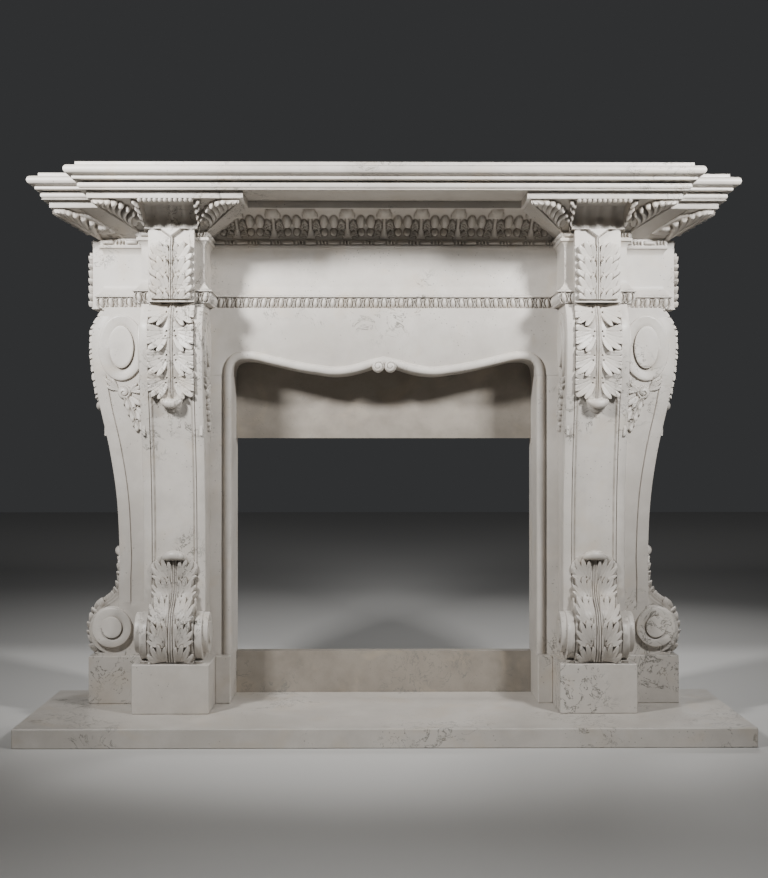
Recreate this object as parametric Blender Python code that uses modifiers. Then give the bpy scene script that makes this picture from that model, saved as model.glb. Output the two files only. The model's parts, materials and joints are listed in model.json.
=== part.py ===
"""A carved stone fireplace mantel standing on its hearth slab, in metres, +Z up.

The front faces -Y and the back lies flat on the wall plane. Two legs, each a pier with a scrolled
console on its front and one on its outer side, stand on stepped plinths. They carry a frieze course,
a leaf-carved cornice course and a moulded shelf. A serpentine lintel closes the opening between the
jambs, with plain slips behind it round the firebox.
"""
import math

import bmesh
import bpy
import numpy as np

# Joint between stones that rest on or stand against each other
JOINT = 0.0003

# Hearth slab, and the wall that its back edge meets
HEARTH_MARGIN = 0.141
HEARTH_DEPTH = 0.588
HEARTH_HEIGHT = 0.056
HEARTH_ARRIS = 0.003
FRONT_Y = -HEARTH_DEPTH / 2
WALL_Y = HEARTH_DEPTH / 2

# Firebox opening, and the slips round it
OPENING_WIDTH = 0.945
OPENING_HEIGHT = 0.683
SILL_HEIGHT = 0.132
SLIP_THICKNESS = 0.042
SLIP_LAP = 0.290

# Legs: plinth, pier and the step that each plinth makes under a console
JAMB_WIDTH = 0.046
PLINTH_WIDTH = 0.229
PLINTH_HEIGHT = 0.146
PLINTH_STEP = 0.159
PLINTH_ARRIS = 0.002
CONSOLE_WIDTH = 0.186
CONSOLE_HEIGHT = 1.072
LEG_X = OPENING_WIDTH / 2 + JAMB_WIDTH + PLINTH_WIDTH / 2
HEARTH_WIDTH = 2 * (LEG_X + PLINTH_WIDTH / 2 + PLINTH_STEP + HEARTH_MARGIN)
PLINTH_Y = WALL_Y - PLINTH_WIDTH
PIER_SETBACK = (PLINTH_WIDTH - CONSOLE_WIDTH) / 2
SIDE_CONSOLE_Y = PLINTH_Y + PLINTH_WIDTH / 2

# Console face: raised borders, a sunk panel between them, leaves over its two ends
BORDER_WIDTH = 0.024
WAIST_RISE = 0.263
WAIST_STAND = 0.091
BORDER_FOOT = 0.010
PANEL_DEPTH = 0.007
PANEL_SLOPE = 0.003
UPPER_LEAF_HEIGHT = 0.322
UPPER_LEAF_TIERS = 4
UPPER_LEAF_HANG = 0.020
LOWER_LEAF_HEIGHT = 0.335
LOWER_LEAF_TIERS = 5
LOWER_LEAF_HANG = -0.016
LEAF_RELIEF = 0.022
LEAF_SIDES = (-0.94, -0.62, -0.30, 0.0, 0.30, 0.62, 0.94)
LEAF_CLEAR = 0.004
LEAF_TIP = 0.034
LEAF_TIP_HALF = 0.7
TIER_FOOT = 0.01
TIER_SPAN = 0.86
TIER_EDGE = 0.02
TIP_LEVELS = ((0.895, 0.80), (0.950, 1.00), (0.995, 0.75))
SHAFT_SHARES = (0.32, 0.66)
SCROLL_WIDTH = 0.220
SCROLL_RADIUS = 0.064
SCROLL_Y = 0.106
SCROLL_RISE = 0.086
EYE_RADIUS = 0.027
EYE_RELIEF = 0.003
VOLUTE_RELIEF = 0.008
VOLUTE_DROP = 0.128
VOLUTE_Y = 0.070
VOLUTE_HALF_DEPTH = 0.068
VOLUTE_HALF_HEIGHT = 0.094
VOLUTE_EYE_DEPTH = 0.030
VOLUTE_EYE_HEIGHT = 0.060
VOLUTE_CLEAR = 2 * VOLUTE_RELIEF + 0.002
OVAL_SIDES = 12

# Leaf spray under each head volute: its relief, and its outline as (stand-out, drop below the head)
SPRAY_RELIEF = 0.007
SPRAY_OUTLINE = (
    (0.020, 0.255),
    (0.060, 0.215),
    (0.122, 0.205),
    (0.112, 0.248),
    (0.050, 0.345),
    (0.018, 0.384),
)

# Jambs and lintel: a roll moulding runs up one jamb, along the serpentine edge and down the other
JAMB_SPRING = 1.010
ROLL_WIDTH = 0.025
ROLL_RELIEF = 0.012
LINTEL_DEPTH = 0.190
LINTEL_Y = WALL_Y - LINTEL_DEPTH
BOSS_RADIUS = 0.018
BOSS_SPACING = 1.04
BOSS_RELIEF = 0.022
BOSS_ROOT = 0.030
BOSS_RISE = 0.030
BOSS_SIDES = 8

# Frieze course: egg band, plain frieze that flares at both ends, bead band
FRIEZE_DEPTH = 0.167
EGG_BAND = 0.037
FRIEZE_PLAIN = 0.151
BEAD_BAND = 0.028
FILLET = 0.001
EGG_MIDDLE = 0.016
EGG_HEAD = 0.031
COVETTO_OUT = 0.012
COVETTO_SLOPE_OUT = 0.003
COVETTO_SLOPE = 0.014
TIER_BREAKS = (0.040, 0.044)
HEAD_COVETTO_OUT = 0.009
BEAD_FOOT = 0.008
BEAD_MIDDLE = 0.016
EGG_PITCH = 0.0271
EGG_RELIEF = 0.009
EGG_PROJECTION = 0.022
BEAD_PITCH = 0.073
BEAD_BEAT = (0.0, 1.0, 1.0, 0.0)
BEAD_RELIEF = 0.005
BEAD_PROJECTION = 0.012
NECK_WIDTH = 0.188
NECK_STEP_FRONT = 0.164
NECK_STEP_SIDE = 0.145
TABLET_WIDTH = 0.136
TABLET_PROUD = 0.040
TABLET_RELIEF = 0.014
TABLET_SIDES = (-1.0, -0.9, -0.55, -0.3, 0.0, 0.3, 0.55, 0.9, 1.0)

# Cornice course: a cove that flares out to a fascia, leaves on its corners, a niche over each console
COVE_HEIGHT = 0.069
FASCIA_HEIGHT = 0.021
FLARE_X = 0.130
FLARE_Y = 0.165
COVE_LEVELS = (0.0, 0.2, 0.42, 0.64, 0.82, 0.94)
NICHE_HALF_WIDTH = 0.080
NICHE_FLUTES = 4
NICHE_SETBACK = 0.026
NICHE_SWELL = 0.030
NICHE_LIP = 0.004
DRUM_SHARE = 0.92
FLUTE_DEPTH = 0.006
CORNER_LEAF_RELIEF = 0.010
CORNER_LEAF_REACH = 0.1
CORNER_RIDGES = (1.0, 0.2, 1.0, 0.2)
SIDE_RIDGE_SHARE = 0.6
NICHE_EDGE_SHARE = 0.5
MOTIF_PITCH = 0.118
MOTIF_RELIEF = 0.012
MOTIF_BEAT = (0.9, 0.1, 0.8, 0.25, 0.8, 0.1)
MOTIF_CAPS = (0.9, 0.5, 0.1, 0.0, 0.1, 0.5)
CAPS_FROM = 0.8

# Shelf mouldings above the fascia, by height and by how far they stand out past it
SHELF_PROFILE = (
    (0.004, 0.000),
    (0.019, 0.002),
    (0.019, 0.007),
    (0.022, 0.0145),
    (0.019, 0.022),
    (0.004, 0.026),
    (0.035, 0.028),
    (0.035, 0.036),
    (0.046, 0.041),
    (0.053, 0.045),
    (0.055, 0.0525),
    (0.053, 0.060),
    (0.046, 0.065),
    (0.027, 0.067),
    (0.027, 0.078),
)

# Stone colours: the carved stone, and the darker slips in the shade of the opening
STONE = (0.60, 0.57, 0.52, 1.0)
SLIP_STONE = (0.50, 0.46, 0.40, 1.0)
HEARTH_STONE = (0.62, 0.59, 0.55, 1.0)
STONE_ROUGHNESS = 0.45

# Heights that the courses stand at
PLINTH_Z = HEARTH_HEIGHT
CONSOLE_Z = PLINTH_Z + PLINTH_HEIGHT
FRIEZE_Z = CONSOLE_Z + CONSOLE_HEIGHT
CORNICE_Z = FRIEZE_Z + EGG_BAND + FRIEZE_PLAIN + BEAD_BAND
SHELF_Z = CORNICE_Z + COVE_HEIGHT + FASCIA_HEIGHT

# Plan lines of the frieze: the neck over each leg stands forward of the main plane and out to the side
NECK_HALF = NECK_WIDTH / 2
MAIN_Y = WALL_Y - FRIEZE_DEPTH
NECK_Y = MAIN_Y - NECK_STEP_FRONT
SIDE_X = LEG_X + NECK_HALF + NECK_STEP_SIDE
SIDE_TABLET_Y = (MAIN_Y + WALL_Y) / 2


def clear_scene():
    """Removes what the startup scene holds."""
    for obj in list(bpy.data.objects):
        bpy.data.objects.remove(obj, do_unlink=True)


def collection(name):
    """A new collection in the scene."""
    made = bpy.data.collections.new(name)
    bpy.context.scene.collection.children.link(made)
    return made


def stone(name, colour):
    """A plain stone finish."""
    made = bpy.data.materials.new(name)
    made.use_nodes = True
    shader = made.node_tree.nodes["Principled BSDF"]
    shader.inputs["Base Color"].default_value = colour
    shader.inputs["Roughness"].default_value = STONE_ROUGHNESS
    shader.inputs["Metallic"].default_value = 0.0
    return made


def named(name, bm, colour, group):
    """An object with this bmesh as its mesh."""
    mesh = bpy.data.meshes.new(name)
    bm.to_mesh(mesh)
    bm.free()
    made = bpy.data.objects.new(name, mesh)
    group.objects.link(made)
    made.data.materials.append(stone(name, colour))
    return made


def block(name, low, high, colour, group, arris=0.0):
    """A squared block between two corners, with its edges eased by arris."""
    bm = bmesh.new()
    bmesh.ops.create_cube(bm, size=1.0)
    size = np.subtract(high, low)
    middle = np.add(high, low) / 2
    bmesh.ops.scale(bm, vec=size, verts=bm.verts)
    bmesh.ops.translate(bm, vec=middle, verts=bm.verts)
    made = named(name, bm, colour, group)
    if arris:
        bevel = made.modifiers.new("arris", "BEVEL")
        bevel.width = arris
        bevel.segments = 1
    return made


def prism(plan, foot, head):
    """A solid between two heights with this outline, which runs anticlockwise seen from above."""
    bm = bmesh.new()
    low = [bm.verts.new((x, y, foot)) for x, y in plan]
    high = [bm.verts.new((x, y, head)) for x, y in plan]
    bm.faces.new(low[::-1])
    bm.faces.new(high)
    for i in range(len(plan)):
        j = (i + 1) % len(plan)
        bm.faces.new((low[i], low[j], high[j], high[i]))
    return bm


def helper(obj, name, group):
    """Names a solid that only serves to be joined to another, and keeps it out of the render."""
    obj.name = name
    for other in list(obj.users_collection):
        other.objects.unlink(obj)
    group.objects.link(obj)
    obj.hide_render = True
    obj.display_type = "WIRE"
    return obj


def mirrored(bm):
    """Turns a right-hand mesh into its left-hand twin, with its faces still pointing out."""
    bmesh.ops.scale(bm, vec=(-1.0, 1.0, 1.0), verts=bm.verts)
    bmesh.ops.reverse_faces(bm, faces=bm.faces)


def mirror_across_x(obj):
    """Completes a half that is open at X = 0."""
    mirror = obj.modifiers.new("other half", "MIRROR")
    mirror.use_axis = (True, False, False)
    mirror.merge_threshold = 0.0001


def course(levels):
    """A solid between stacked loops, open where its ends stand on the plane X = 0.

    Each level is a list of runs, and each run is an array of points from one corner to the next, so
    the last point of a run is the first of the next. Between two levels a run becomes quads where it
    has as many points in both, and otherwise one flat face.
    """
    bm = bmesh.new()
    rows = []
    for runs in levels:
        row = []
        last = None
        for points in runs:
            verts = [last or bm.verts.new(points[0])]
            verts += [bm.verts.new(point) for point in points[1:]]
            last = verts[-1]
            row.append(verts)
        rows.append(row)
    for low_row, high_row in zip(rows, rows[1:]):
        for low, high in zip(low_row, high_row):
            if len(low) == len(high):
                for i in range(len(low) - 1):
                    bm.faces.new((low[i], low[i + 1], high[i + 1], high[i]))
            else:
                bm.faces.new(low + high[::-1])
    foot = [vert for run in rows[0] for vert in run[:-1]] + [rows[0][-1][-1]]
    head = [vert for run in rows[-1] for vert in run[:-1]] + [rows[-1][-1][-1]]
    bm.faces.new(foot[::-1])
    bm.faces.new(head)
    return bm


def relief_block(grid, back):
    """A solid with a carved front: grid is rows by columns of points, and back is its flat rear, +Y."""
    bm = bmesh.new()
    verts = [[bm.verts.new(point) for point in row] for row in grid]
    for low, high in zip(verts, verts[1:]):
        for i in range(len(low) - 1):
            bm.faces.new((low[i], low[i + 1], high[i + 1], high[i]))
    foot_left, foot_right, head_right, head_left = (
        bm.verts.new((point[0], back, point[2]))
        for point in (grid[0][0], grid[0][-1], grid[-1][-1], grid[-1][0])
    )
    bm.faces.new([foot_left] + [row[0] for row in verts] + [head_left])
    bm.faces.new([head_right] + [row[-1] for row in verts[::-1]] + [foot_right])
    bm.faces.new([foot_right] + verts[0][::-1] + [foot_left])
    bm.faces.new([head_left] + verts[-1] + [head_right])
    bm.faces.new((foot_left, head_left, head_right, foot_right))
    return bm


# Console


def console_profile(rise):
    """How far the console stands out from its pier at a height above its foot, before the leaves.

    A scroll at the foot, a sweep up out of it, a nearly straight shaft, and a swelling head that turns
    back under the frieze. The shares of the height are the curve's own.
    """
    shares = (0.0, 0.021, 0.047, 0.081, 0.112, 0.136, 0.147, 0.160, 0.182, 0.210, 0.245, 0.340,
              0.400, 0.470, 0.530, 0.595, 0.660, 0.730, 0.780, 0.850, 0.905, 0.940, 0.968, 1.0)
    stand = (0.157, 0.172, 0.180, 0.182, 0.175, 0.160, 0.143, 0.122, 0.103, 0.093, 0.090, 0.091,
             0.093, 0.100, 0.109, 0.121, 0.134, 0.153, 0.164, 0.173, 0.175, 0.170, 0.154, 0.130)
    return np.interp(np.asarray(rise) / CONSOLE_HEIGHT, shares, stand)


def border_profile(rise):
    """How far the borders stand out: beside the lower leaf they run straight down to the foot scroll."""
    face = float(console_profile(rise))
    return min(face, WAIST_STAND) if BORDER_FOOT < rise < WAIST_RISE else face


def leaf_relief(lift, side):
    """Relief of one leaf side, 0 to 1, at a tier's lift, 0 at its stem to 1 at its tip.

    side runs from the midrib, 0, to the leaf's edge, 1, with a valley between the midrib and the lobes.
    """
    crown = np.interp(side, (0.0, 0.14, 0.30, 0.62, 1.0), (0.75, 0.75, 0.55, 1.0, 0.45))
    return (0.35 + 0.65 * lift) * crown


def leaf_levels(tiers):
    """Levels of a leaf: share of its height, relief of its lobes or None in the tip, relief of the tip.

    Each tier rises from its foot to its lip; the tip curls over above the last of them.
    """
    levels = []
    for tier in range(tiers):
        for lift in (TIER_EDGE, 1.0 - TIER_EDGE):
            levels.append((TIER_FOOT + TIER_SPAN * (tier + lift) / tiers, lift, 0.0))
    return levels + [(share, None, tip) for share, tip in TIP_LEVELS]


def console_row(rise, lift, tip, hang):
    """Points across the console's face at one height: borders, panel, and the leaf on it.

    lift is None where no lobes stand on the panel, and hang lowers a lobe's outer edge in mid-tier.
    """
    half = CONSOLE_WIDTH / 2
    panel = half - BORDER_WIDTH
    slope = panel - PANEL_SLOPE
    face = float(console_profile(rise))
    ground = face - PANEL_DEPTH
    points = []
    for side in LEAF_SIDES:
        across = abs(side)
        out = ground + LEAF_TIP * tip * max(0.0, 1.0 - (across / LEAF_TIP_HALF) ** 2)
        height = rise
        if lift is not None:
            out += LEAF_RELIEF * leaf_relief(lift, across)
            height -= hang * across * 4.0 * lift * (1.0 - lift)
        points.append((side * panel, -out, height))
    border = border_profile(rise)
    left = [(-half, -border, rise), (-panel, -border, rise), (-slope, -ground, rise)]
    right = [(slope, -ground, rise), (panel, -border, rise), (half, -border, rise)]
    return left + points + right


def console_mesh():
    """The console in its own axes: width on X, out along -Y from the pier at Y = 0, foot at Z = 0."""
    top = CONSOLE_HEIGHT - 2 * JOINT
    shaft_foot = LOWER_LEAF_HEIGHT + LEAF_CLEAR
    shaft_head = top - UPPER_LEAF_HEIGHT - LEAF_CLEAR
    rows = [(0.0, None, 0.0, 0.0)]
    rows += [(LOWER_LEAF_HEIGHT * share, lift, tip, LOWER_LEAF_HANG)
             for share, lift, tip in leaf_levels(LOWER_LEAF_TIERS)]
    rows += [(shaft_foot + (shaft_head - shaft_foot) * share, None, 0.0, 0.0)
             for share in (0.0, *SHAFT_SHARES, 1.0)]
    rows += [(top - UPPER_LEAF_HEIGHT * share, lift, tip, UPPER_LEAF_HANG)
             for share, lift, tip in leaf_levels(UPPER_LEAF_TIERS)[::-1]]
    rows += [(top, None, 0.0, 0.0)]
    return relief_block([console_row(*row) for row in rows], 0.0)


def oval(name, half_length, centre, radii, group):
    """A cylinder across the console, standing out of both side faces, to be joined to it.

    It stops short of the pier, where the volutes of two neighbouring consoles would meet.
    """
    bpy.ops.mesh.primitive_cylinder_add(vertices=OVAL_SIDES, radius=1.0, depth=2.0 * half_length)
    made = helper(bpy.context.object, name, group)
    made.data.transform(((0, 0, 1, 0), (0, 1, 0, 0), (-1, 0, 0, 0), (0, 0, 0, 1)))
    for vert in made.data.vertices:
        stand = min(centre[0] + vert.co.y * radii[0], -VOLUTE_CLEAR)
        vert.co = (vert.co.x, stand, centre[1] + vert.co.z * radii[1])
    return made


def spray(group):
    """The leaves that hang under the head volutes: their outline, standing out of both side faces."""
    reach = CONSOLE_WIDTH / 2 + SPRAY_RELIEF
    bm = prism([(-stand, CONSOLE_HEIGHT - drop) for stand, drop in SPRAY_OUTLINE], -reach, reach)
    for vert in bm.verts:
        vert.co = (vert.co.z, vert.co.x, vert.co.y)
    bmesh.ops.recalc_face_normals(bm, faces=bm.faces)
    return helper(named("spray", bm, STONE, group), "spray", group)


def joined(obj, other):
    """Joins another solid to this one."""
    union = obj.modifiers.new("join " + other.name, "BOOLEAN")
    union.operation = "UNION"
    union.solver = "EXACT"
    union.object = other


def evaluated_copy(obj):
    """A new mesh with the object's modifiers applied."""
    graph = bpy.context.evaluated_depsgraph_get()
    graph.update()
    return bpy.data.meshes.new_from_object(obj.evaluated_get(graph))


def consoles(group, helpers):
    """Four consoles: one on the front and one on the outer side of each pier."""
    pattern = named("console_pattern", console_mesh(), STONE, helpers)
    pattern.hide_render = True
    half = CONSOLE_WIDTH / 2
    volute_rise = CONSOLE_HEIGHT - VOLUTE_DROP
    shapes = (
        ("scroll", SCROLL_WIDTH / 2, (-SCROLL_Y, SCROLL_RISE), (SCROLL_RADIUS, SCROLL_RADIUS)),
        ("scroll_eye", SCROLL_WIDTH / 2 + EYE_RELIEF, (-SCROLL_Y, SCROLL_RISE), (EYE_RADIUS, EYE_RADIUS)),
        ("volute", half + VOLUTE_RELIEF, (-VOLUTE_Y, volute_rise), (VOLUTE_HALF_DEPTH, VOLUTE_HALF_HEIGHT)),
        ("volute_eye", half + 2 * VOLUTE_RELIEF, (-VOLUTE_Y, volute_rise),
         (VOLUTE_EYE_DEPTH, VOLUTE_EYE_HEIGHT)),
    )
    for name, reach, centre, radii in shapes:
        joined(pattern, oval(name, reach, centre, radii, helpers))
    joined(pattern, spray(helpers))
    mesh = evaluated_copy(pattern)
    front_y = PLINTH_Y + PIER_SETBACK - JOINT
    side_x = LEG_X + CONSOLE_WIDTH / 2 + JOINT
    places = (
        ("console_front_left", (-LEG_X, front_y), 0.0),
        ("console_front_right", (LEG_X, front_y), 0.0),
        ("console_side_left", (-side_x, SIDE_CONSOLE_Y), -math.pi / 2),
        ("console_side_right", (side_x, SIDE_CONSOLE_Y), math.pi / 2),
    )
    for name, (x, y), turn in places:
        made = bpy.data.objects.new(name, mesh.copy())
        made.data.materials.clear()
        made.data.materials.append(stone(name, STONE))
        made.location = (x, y, CONSOLE_Z + JOINT)
        made.rotation_euler = (0.0, 0.0, turn)
        group.objects.link(made)


# Hearth, plinths, piers and jambs


def hearth(group):
    """The slab that everything stands on."""
    half = HEARTH_WIDTH / 2
    block("hearth_slab", (-half, FRONT_Y, 0.0), (half, WALL_Y, HEARTH_HEIGHT), HEARTH_STONE, group,
          HEARTH_ARRIS)


def plinths(group):
    """Under each leg a block that steps forward and outward beneath the two consoles."""
    inner, outer = LEG_X - PLINTH_WIDTH / 2, LEG_X + PLINTH_WIDTH / 2
    plan = (
        (inner, PLINTH_Y - PLINTH_STEP), (outer, PLINTH_Y - PLINTH_STEP), (outer, PLINTH_Y),
        (outer + PLINTH_STEP, PLINTH_Y), (outer + PLINTH_STEP, WALL_Y), (inner, WALL_Y),
    )
    for name in ("plinth_left", "plinth_right"):
        bm = prism(plan, PLINTH_Z + JOINT, CONSOLE_Z)
        if name.endswith("left"):
            mirrored(bm)
        made = named(name, bm, STONE, group)
        bevel = made.modifiers.new("arris", "BEVEL")
        bevel.width = PLINTH_ARRIS
        bevel.segments = 1


def piers(group):
    """The square core behind the consoles of each leg."""
    half = CONSOLE_WIDTH / 2
    for name, side in (("pier_left", -1), ("pier_right", 1)):
        low = (side * LEG_X - half, PLINTH_Y + PIER_SETBACK, CONSOLE_Z + JOINT)
        high = (side * LEG_X + half, WALL_Y, FRIEZE_Z - JOINT)
        block(name, low, high, STONE, group)


def roll_section(sides=4):
    """Points of the half-round roll from its inner edge outwards: across its width, and forward."""
    turns = np.linspace(0.0, math.pi, sides)
    return [((1.0 - math.cos(t)) / 2 * ROLL_WIDTH, math.sin(t) * ROLL_RELIEF) for t in turns]


def jambs(group):
    """A squared base block and a jamb with its roll on each side of the opening."""
    inner = OPENING_WIDTH / 2
    outer = LEG_X - PLINTH_WIDTH / 2 - JOINT
    section = [(inner + across, LINTEL_Y - out) for across, out in roll_section()]
    pier_face = LEG_X - CONSOLE_WIDTH / 2 - JOINT
    plan = [(inner, WALL_Y)] + section + [(pier_face, LINTEL_Y), (pier_face, WALL_Y)]
    for side in ("left", "right"):
        sign = -1 if side == "left" else 1
        edges = sorted((sign * inner, sign * outer))
        block("jamb_base_" + side, (edges[0], PLINTH_Y, PLINTH_Z + JOINT), (edges[1], WALL_Y, CONSOLE_Z),
              STONE, group, PLINTH_ARRIS)
        bm = prism(plan, CONSOLE_Z + JOINT, HEARTH_HEIGHT + JAMB_SPRING - JOINT)
        if sign < 0:
            mirrored(bm)
        named("jamb_" + side, bm, STONE, group)


def slips(group):
    """The plain slips behind the jambs: a sill at the hearth and a header under the lintel."""
    half = OPENING_WIDTH / 2 - JOINT
    front = WALL_Y - SLIP_THICKNESS
    sill_top = HEARTH_HEIGHT + SILL_HEIGHT
    header_foot = sill_top + OPENING_HEIGHT
    block("firebox_sill", (-half, front, HEARTH_HEIGHT + JOINT), (half, WALL_Y, sill_top), SLIP_STONE, group)
    block("firebox_header", (-half, front, header_foot), (half, WALL_Y, header_foot + SLIP_LAP),
          SLIP_STONE, group)


# Lintel


def serpentine(share):
    """The opening's upper edge: (x, height above the springing) for shares from the jamb to the centre.

    It rises steeply off the jamb into a shoulder, sags in a long curve and lifts to the centre bosses.
    """
    keys = (0.0, 0.006, 0.028, 0.058, 0.105, 0.165, 0.235, 0.335, 0.450, 0.560, 0.660, 0.755, 0.845,
            0.910, 1.0)
    rise = (0.0, 0.024, 0.040, 0.046, 0.048, 0.045, 0.037, 0.026, 0.014, 0.006, 0.000, 0.003, 0.012,
            0.022, 0.032)
    inner = OPENING_WIDTH / 2
    return inner * (1.0 - share), np.interp(share, keys, rise)


def lintel(group, helpers):
    """The stone over the opening, with the roll along its serpentine edge and two bosses at the centre."""
    shares = np.array((0.0, 0.006, 0.018, 0.036, 0.070, 0.105, 0.165, 0.235, 0.335, 0.450, 0.560, 0.660,
                       0.755, 0.845, 0.910, 1.0))
    xs, rises = serpentine(shares)
    spring = HEARTH_HEIGHT + JAMB_SPRING
    heights = spring + rises
    slope = np.gradient(heights, xs)
    slope[-1] = 0.0
    along = np.stack([np.ones_like(slope), slope], axis=1)
    along /= np.linalg.norm(along, axis=1, keepdims=True)
    normals = np.stack([-along[:, 1], along[:, 0]], axis=1)
    normals[0] = (1.0, 0.0)
    normals[1] = (0.94, 0.34)
    pier_face = LEG_X - CONSOLE_WIDTH / 2 - JOINT
    top = FRIEZE_Z - JOINT
    back = WALL_Y - SLIP_THICKNESS - JOINT
    outer = [(pier_face, spring), (pier_face, top)]
    outer += [(pier_face * (1.0 - share), top) for share in np.linspace(0.04, 1.0, len(xs) - 2)]
    section = roll_section()
    bm = bmesh.new()
    rings = []
    for x, z, normal, (out_x, out_z) in zip(xs, heights, normals, outer):
        points = [(x, back, z)]
        points += [(x + normal[0] * across, LINTEL_Y - out, z + normal[1] * across)
                   for across, out in section]
        points += [(out_x, LINTEL_Y, out_z), (out_x, back, out_z)]
        rings.append([bm.verts.new(point) for point in points])
    for first, second in zip(rings, rings[1:]):
        for i in range(len(first)):
            j = (i + 1) % len(first)
            bm.faces.new((first[i], second[i], second[j], first[j]))
    bm.faces.new(rings[0])
    bmesh.ops.recalc_face_normals(bm, faces=bm.faces)
    made = named("lintel", bm, STONE, group)
    mirror_across_x(made)
    for name, side in (("boss_left", -1), ("boss_right", 1)):
        bpy.ops.mesh.primitive_cylinder_add(vertices=BOSS_SIDES, radius=BOSS_RADIUS,
                                            depth=BOSS_RELIEF + BOSS_ROOT)
        boss = helper(bpy.context.object, name, helpers)
        boss.data.transform(((1, 0, 0, 0), (0, 0, -1, 0), (0, 1, 0, 0), (0, 0, 0, 1)))
        boss.location = (side * BOSS_RADIUS * BOSS_SPACING, LINTEL_Y + (BOSS_ROOT - BOSS_RELIEF) / 2,
                         spring + BOSS_RISE)
        joined(made, boss)


# Frieze and cornice courses


def corners(out_x, out_y):
    """Corners of the right half of the frieze's plan, moved out by the given amounts, from the front centre.

    The main plane, the neck over the leg with its inner side, front and outer side, the main plane
    again, the side of the leg, and the wall.
    """
    inner, outer = LEG_X - NECK_HALF - out_x, LEG_X + NECK_HALF + out_x
    main, neck = MAIN_Y - out_y, NECK_Y - out_y
    side = SIDE_X + out_x
    return [(0.0, main), (inner, main), (inner, neck), (outer, neck), (outer, main), (side, main),
            (side, WALL_Y), (0.0, WALL_Y)]


def line(start, end, z, shares=(0.0, 1.0)):
    """Points along a straight run at one height."""
    return [(start[0] + (end[0] - start[0]) * s, start[1] + (end[1] - start[1]) * s, z) for s in shares]


def beaded(start, end, z, pitch, relief, beat):
    """A run whose points stand out by turns: beat is the pattern of stand-outs that fills one pitch."""
    length = math.hypot(end[0] - start[0], end[1] - start[1])
    count = max(1, round(length / pitch)) * len(beat)
    out_x, out_y = (end[1] - start[1]) / length, -(end[0] - start[0]) / length
    points = []
    for i in range(count + 1):
        share = i / count
        stand = relief * beat[i % len(beat)]
        points.append((start[0] + (end[0] - start[0]) * share + out_x * stand,
                       start[1] + (end[1] - start[1]) * share + out_y * stand, z))
    points[0] = (start[0], start[1], z)
    points[-1] = (end[0], end[1], z)
    return points


def tablet_run(start, end, z, lift):
    """The carved face of a leaf tablet at one height, from one edge to the other."""
    length = math.hypot(end[0] - start[0], end[1] - start[1])
    out_x, out_y = (end[1] - start[1]) / length, -(end[0] - start[0]) / length
    points = []
    for across in TABLET_SIDES:
        stand = TABLET_RELIEF * leaf_relief(lift, abs(across)) if abs(across) < 1.0 else 0.0
        mid = (across + 1.0) / 2
        points.append((start[0] + (end[0] - start[0]) * mid + out_x * stand,
                       start[1] + (end[1] - start[1]) * mid + out_y * stand, z))
    return points


def frieze_level(z, out, kind, lift):
    """One level of the frieze course: its runs, with the two tablets standing out of the leg's faces."""
    front, c1, c2, c3, c4, c5, c6, back = corners(out, out)
    half = TABLET_WIDTH / 2
    tablet_y = NECK_Y - TABLET_PROUD
    tablet_x = SIDE_X + TABLET_PROUD

    def run(start, end):
        if kind == "egg":
            return beaded(start, end, z, EGG_PITCH, EGG_RELIEF, (0.0, 1.0))
        if kind == "egg edge":
            return beaded(start, end, z, EGG_PITCH, 0.0, (0.0, 1.0))
        if kind == "bead":
            return beaded(start, end, z, BEAD_PITCH, BEAD_RELIEF, BEAD_BEAT)
        if kind == "bead edge":
            return beaded(start, end, z, BEAD_PITCH, 0.0, BEAD_BEAT)
        return line(start, end, z)

    left, right = LEG_X - half, LEG_X + half
    near, far = SIDE_TABLET_Y - half, SIDE_TABLET_Y + half
    return [
        run(front, c1),
        run(c1, c2),
        run(c2, (left, c2[1])),
        line((left, c2[1]), (left, tablet_y), z),
        tablet_run((left, tablet_y), (right, tablet_y), z, lift),
        line((right, tablet_y), (right, c3[1]), z),
        run((right, c3[1]), c3),
        run(c3, c4),
        run(c4, c5),
        line(c5, (c5[0], near), z),
        line((c5[0], near), (tablet_x, near), z),
        tablet_run((tablet_x, near), (tablet_x, far), z, lift),
        line((tablet_x, far), (c5[0], far), z),
        line((c5[0], far), c6, z),
        line(c6, back, z),
    ]


def frieze_course(group):
    """The course over the legs and lintel: egg band, plain frieze and bead band, with four leaf tablets."""
    foot = FRIEZE_Z
    egg_top = foot + EGG_BAND
    plain_top = egg_top + FRIEZE_PLAIN
    head = CORNICE_Z - JOINT
    low_break, high_break = TIER_BREAKS
    rows = (
        (foot, EGG_PROJECTION, "egg edge", -0.3),
        (foot + EGG_MIDDLE, EGG_PROJECTION, "egg", 0.4),
        (foot + EGG_HEAD, EGG_PROJECTION, "egg edge", 1.0),
        (egg_top, EGG_PROJECTION, "plain", 0.1),
        (egg_top + FILLET, COVETTO_OUT, "plain", 0.2),
        (egg_top + COVETTO_SLOPE, COVETTO_SLOPE_OUT, "plain", 0.5),
        (egg_top + low_break, 0.0, "plain", 1.0),
        (egg_top + high_break, 0.0, "plain", 0.1),
        (plain_top - high_break, 0.0, "plain", 1.0),
        (plain_top - low_break, 0.0, "plain", 0.1),
        (plain_top - COVETTO_SLOPE, COVETTO_SLOPE_OUT, "plain", 0.5),
        (plain_top - FILLET, HEAD_COVETTO_OUT, "plain", 0.7),
        (plain_top + BEAD_FOOT, BEAD_PROJECTION, "bead edge", 1.0),
        (plain_top + BEAD_MIDDLE, BEAD_PROJECTION, "bead", 0.4),
        (head, BEAD_PROJECTION, "bead edge", -0.3),
    )
    levels = [frieze_level(*row) for row in rows]
    mirror_across_x(named("frieze_course", course(levels), STONE, group))


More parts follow.
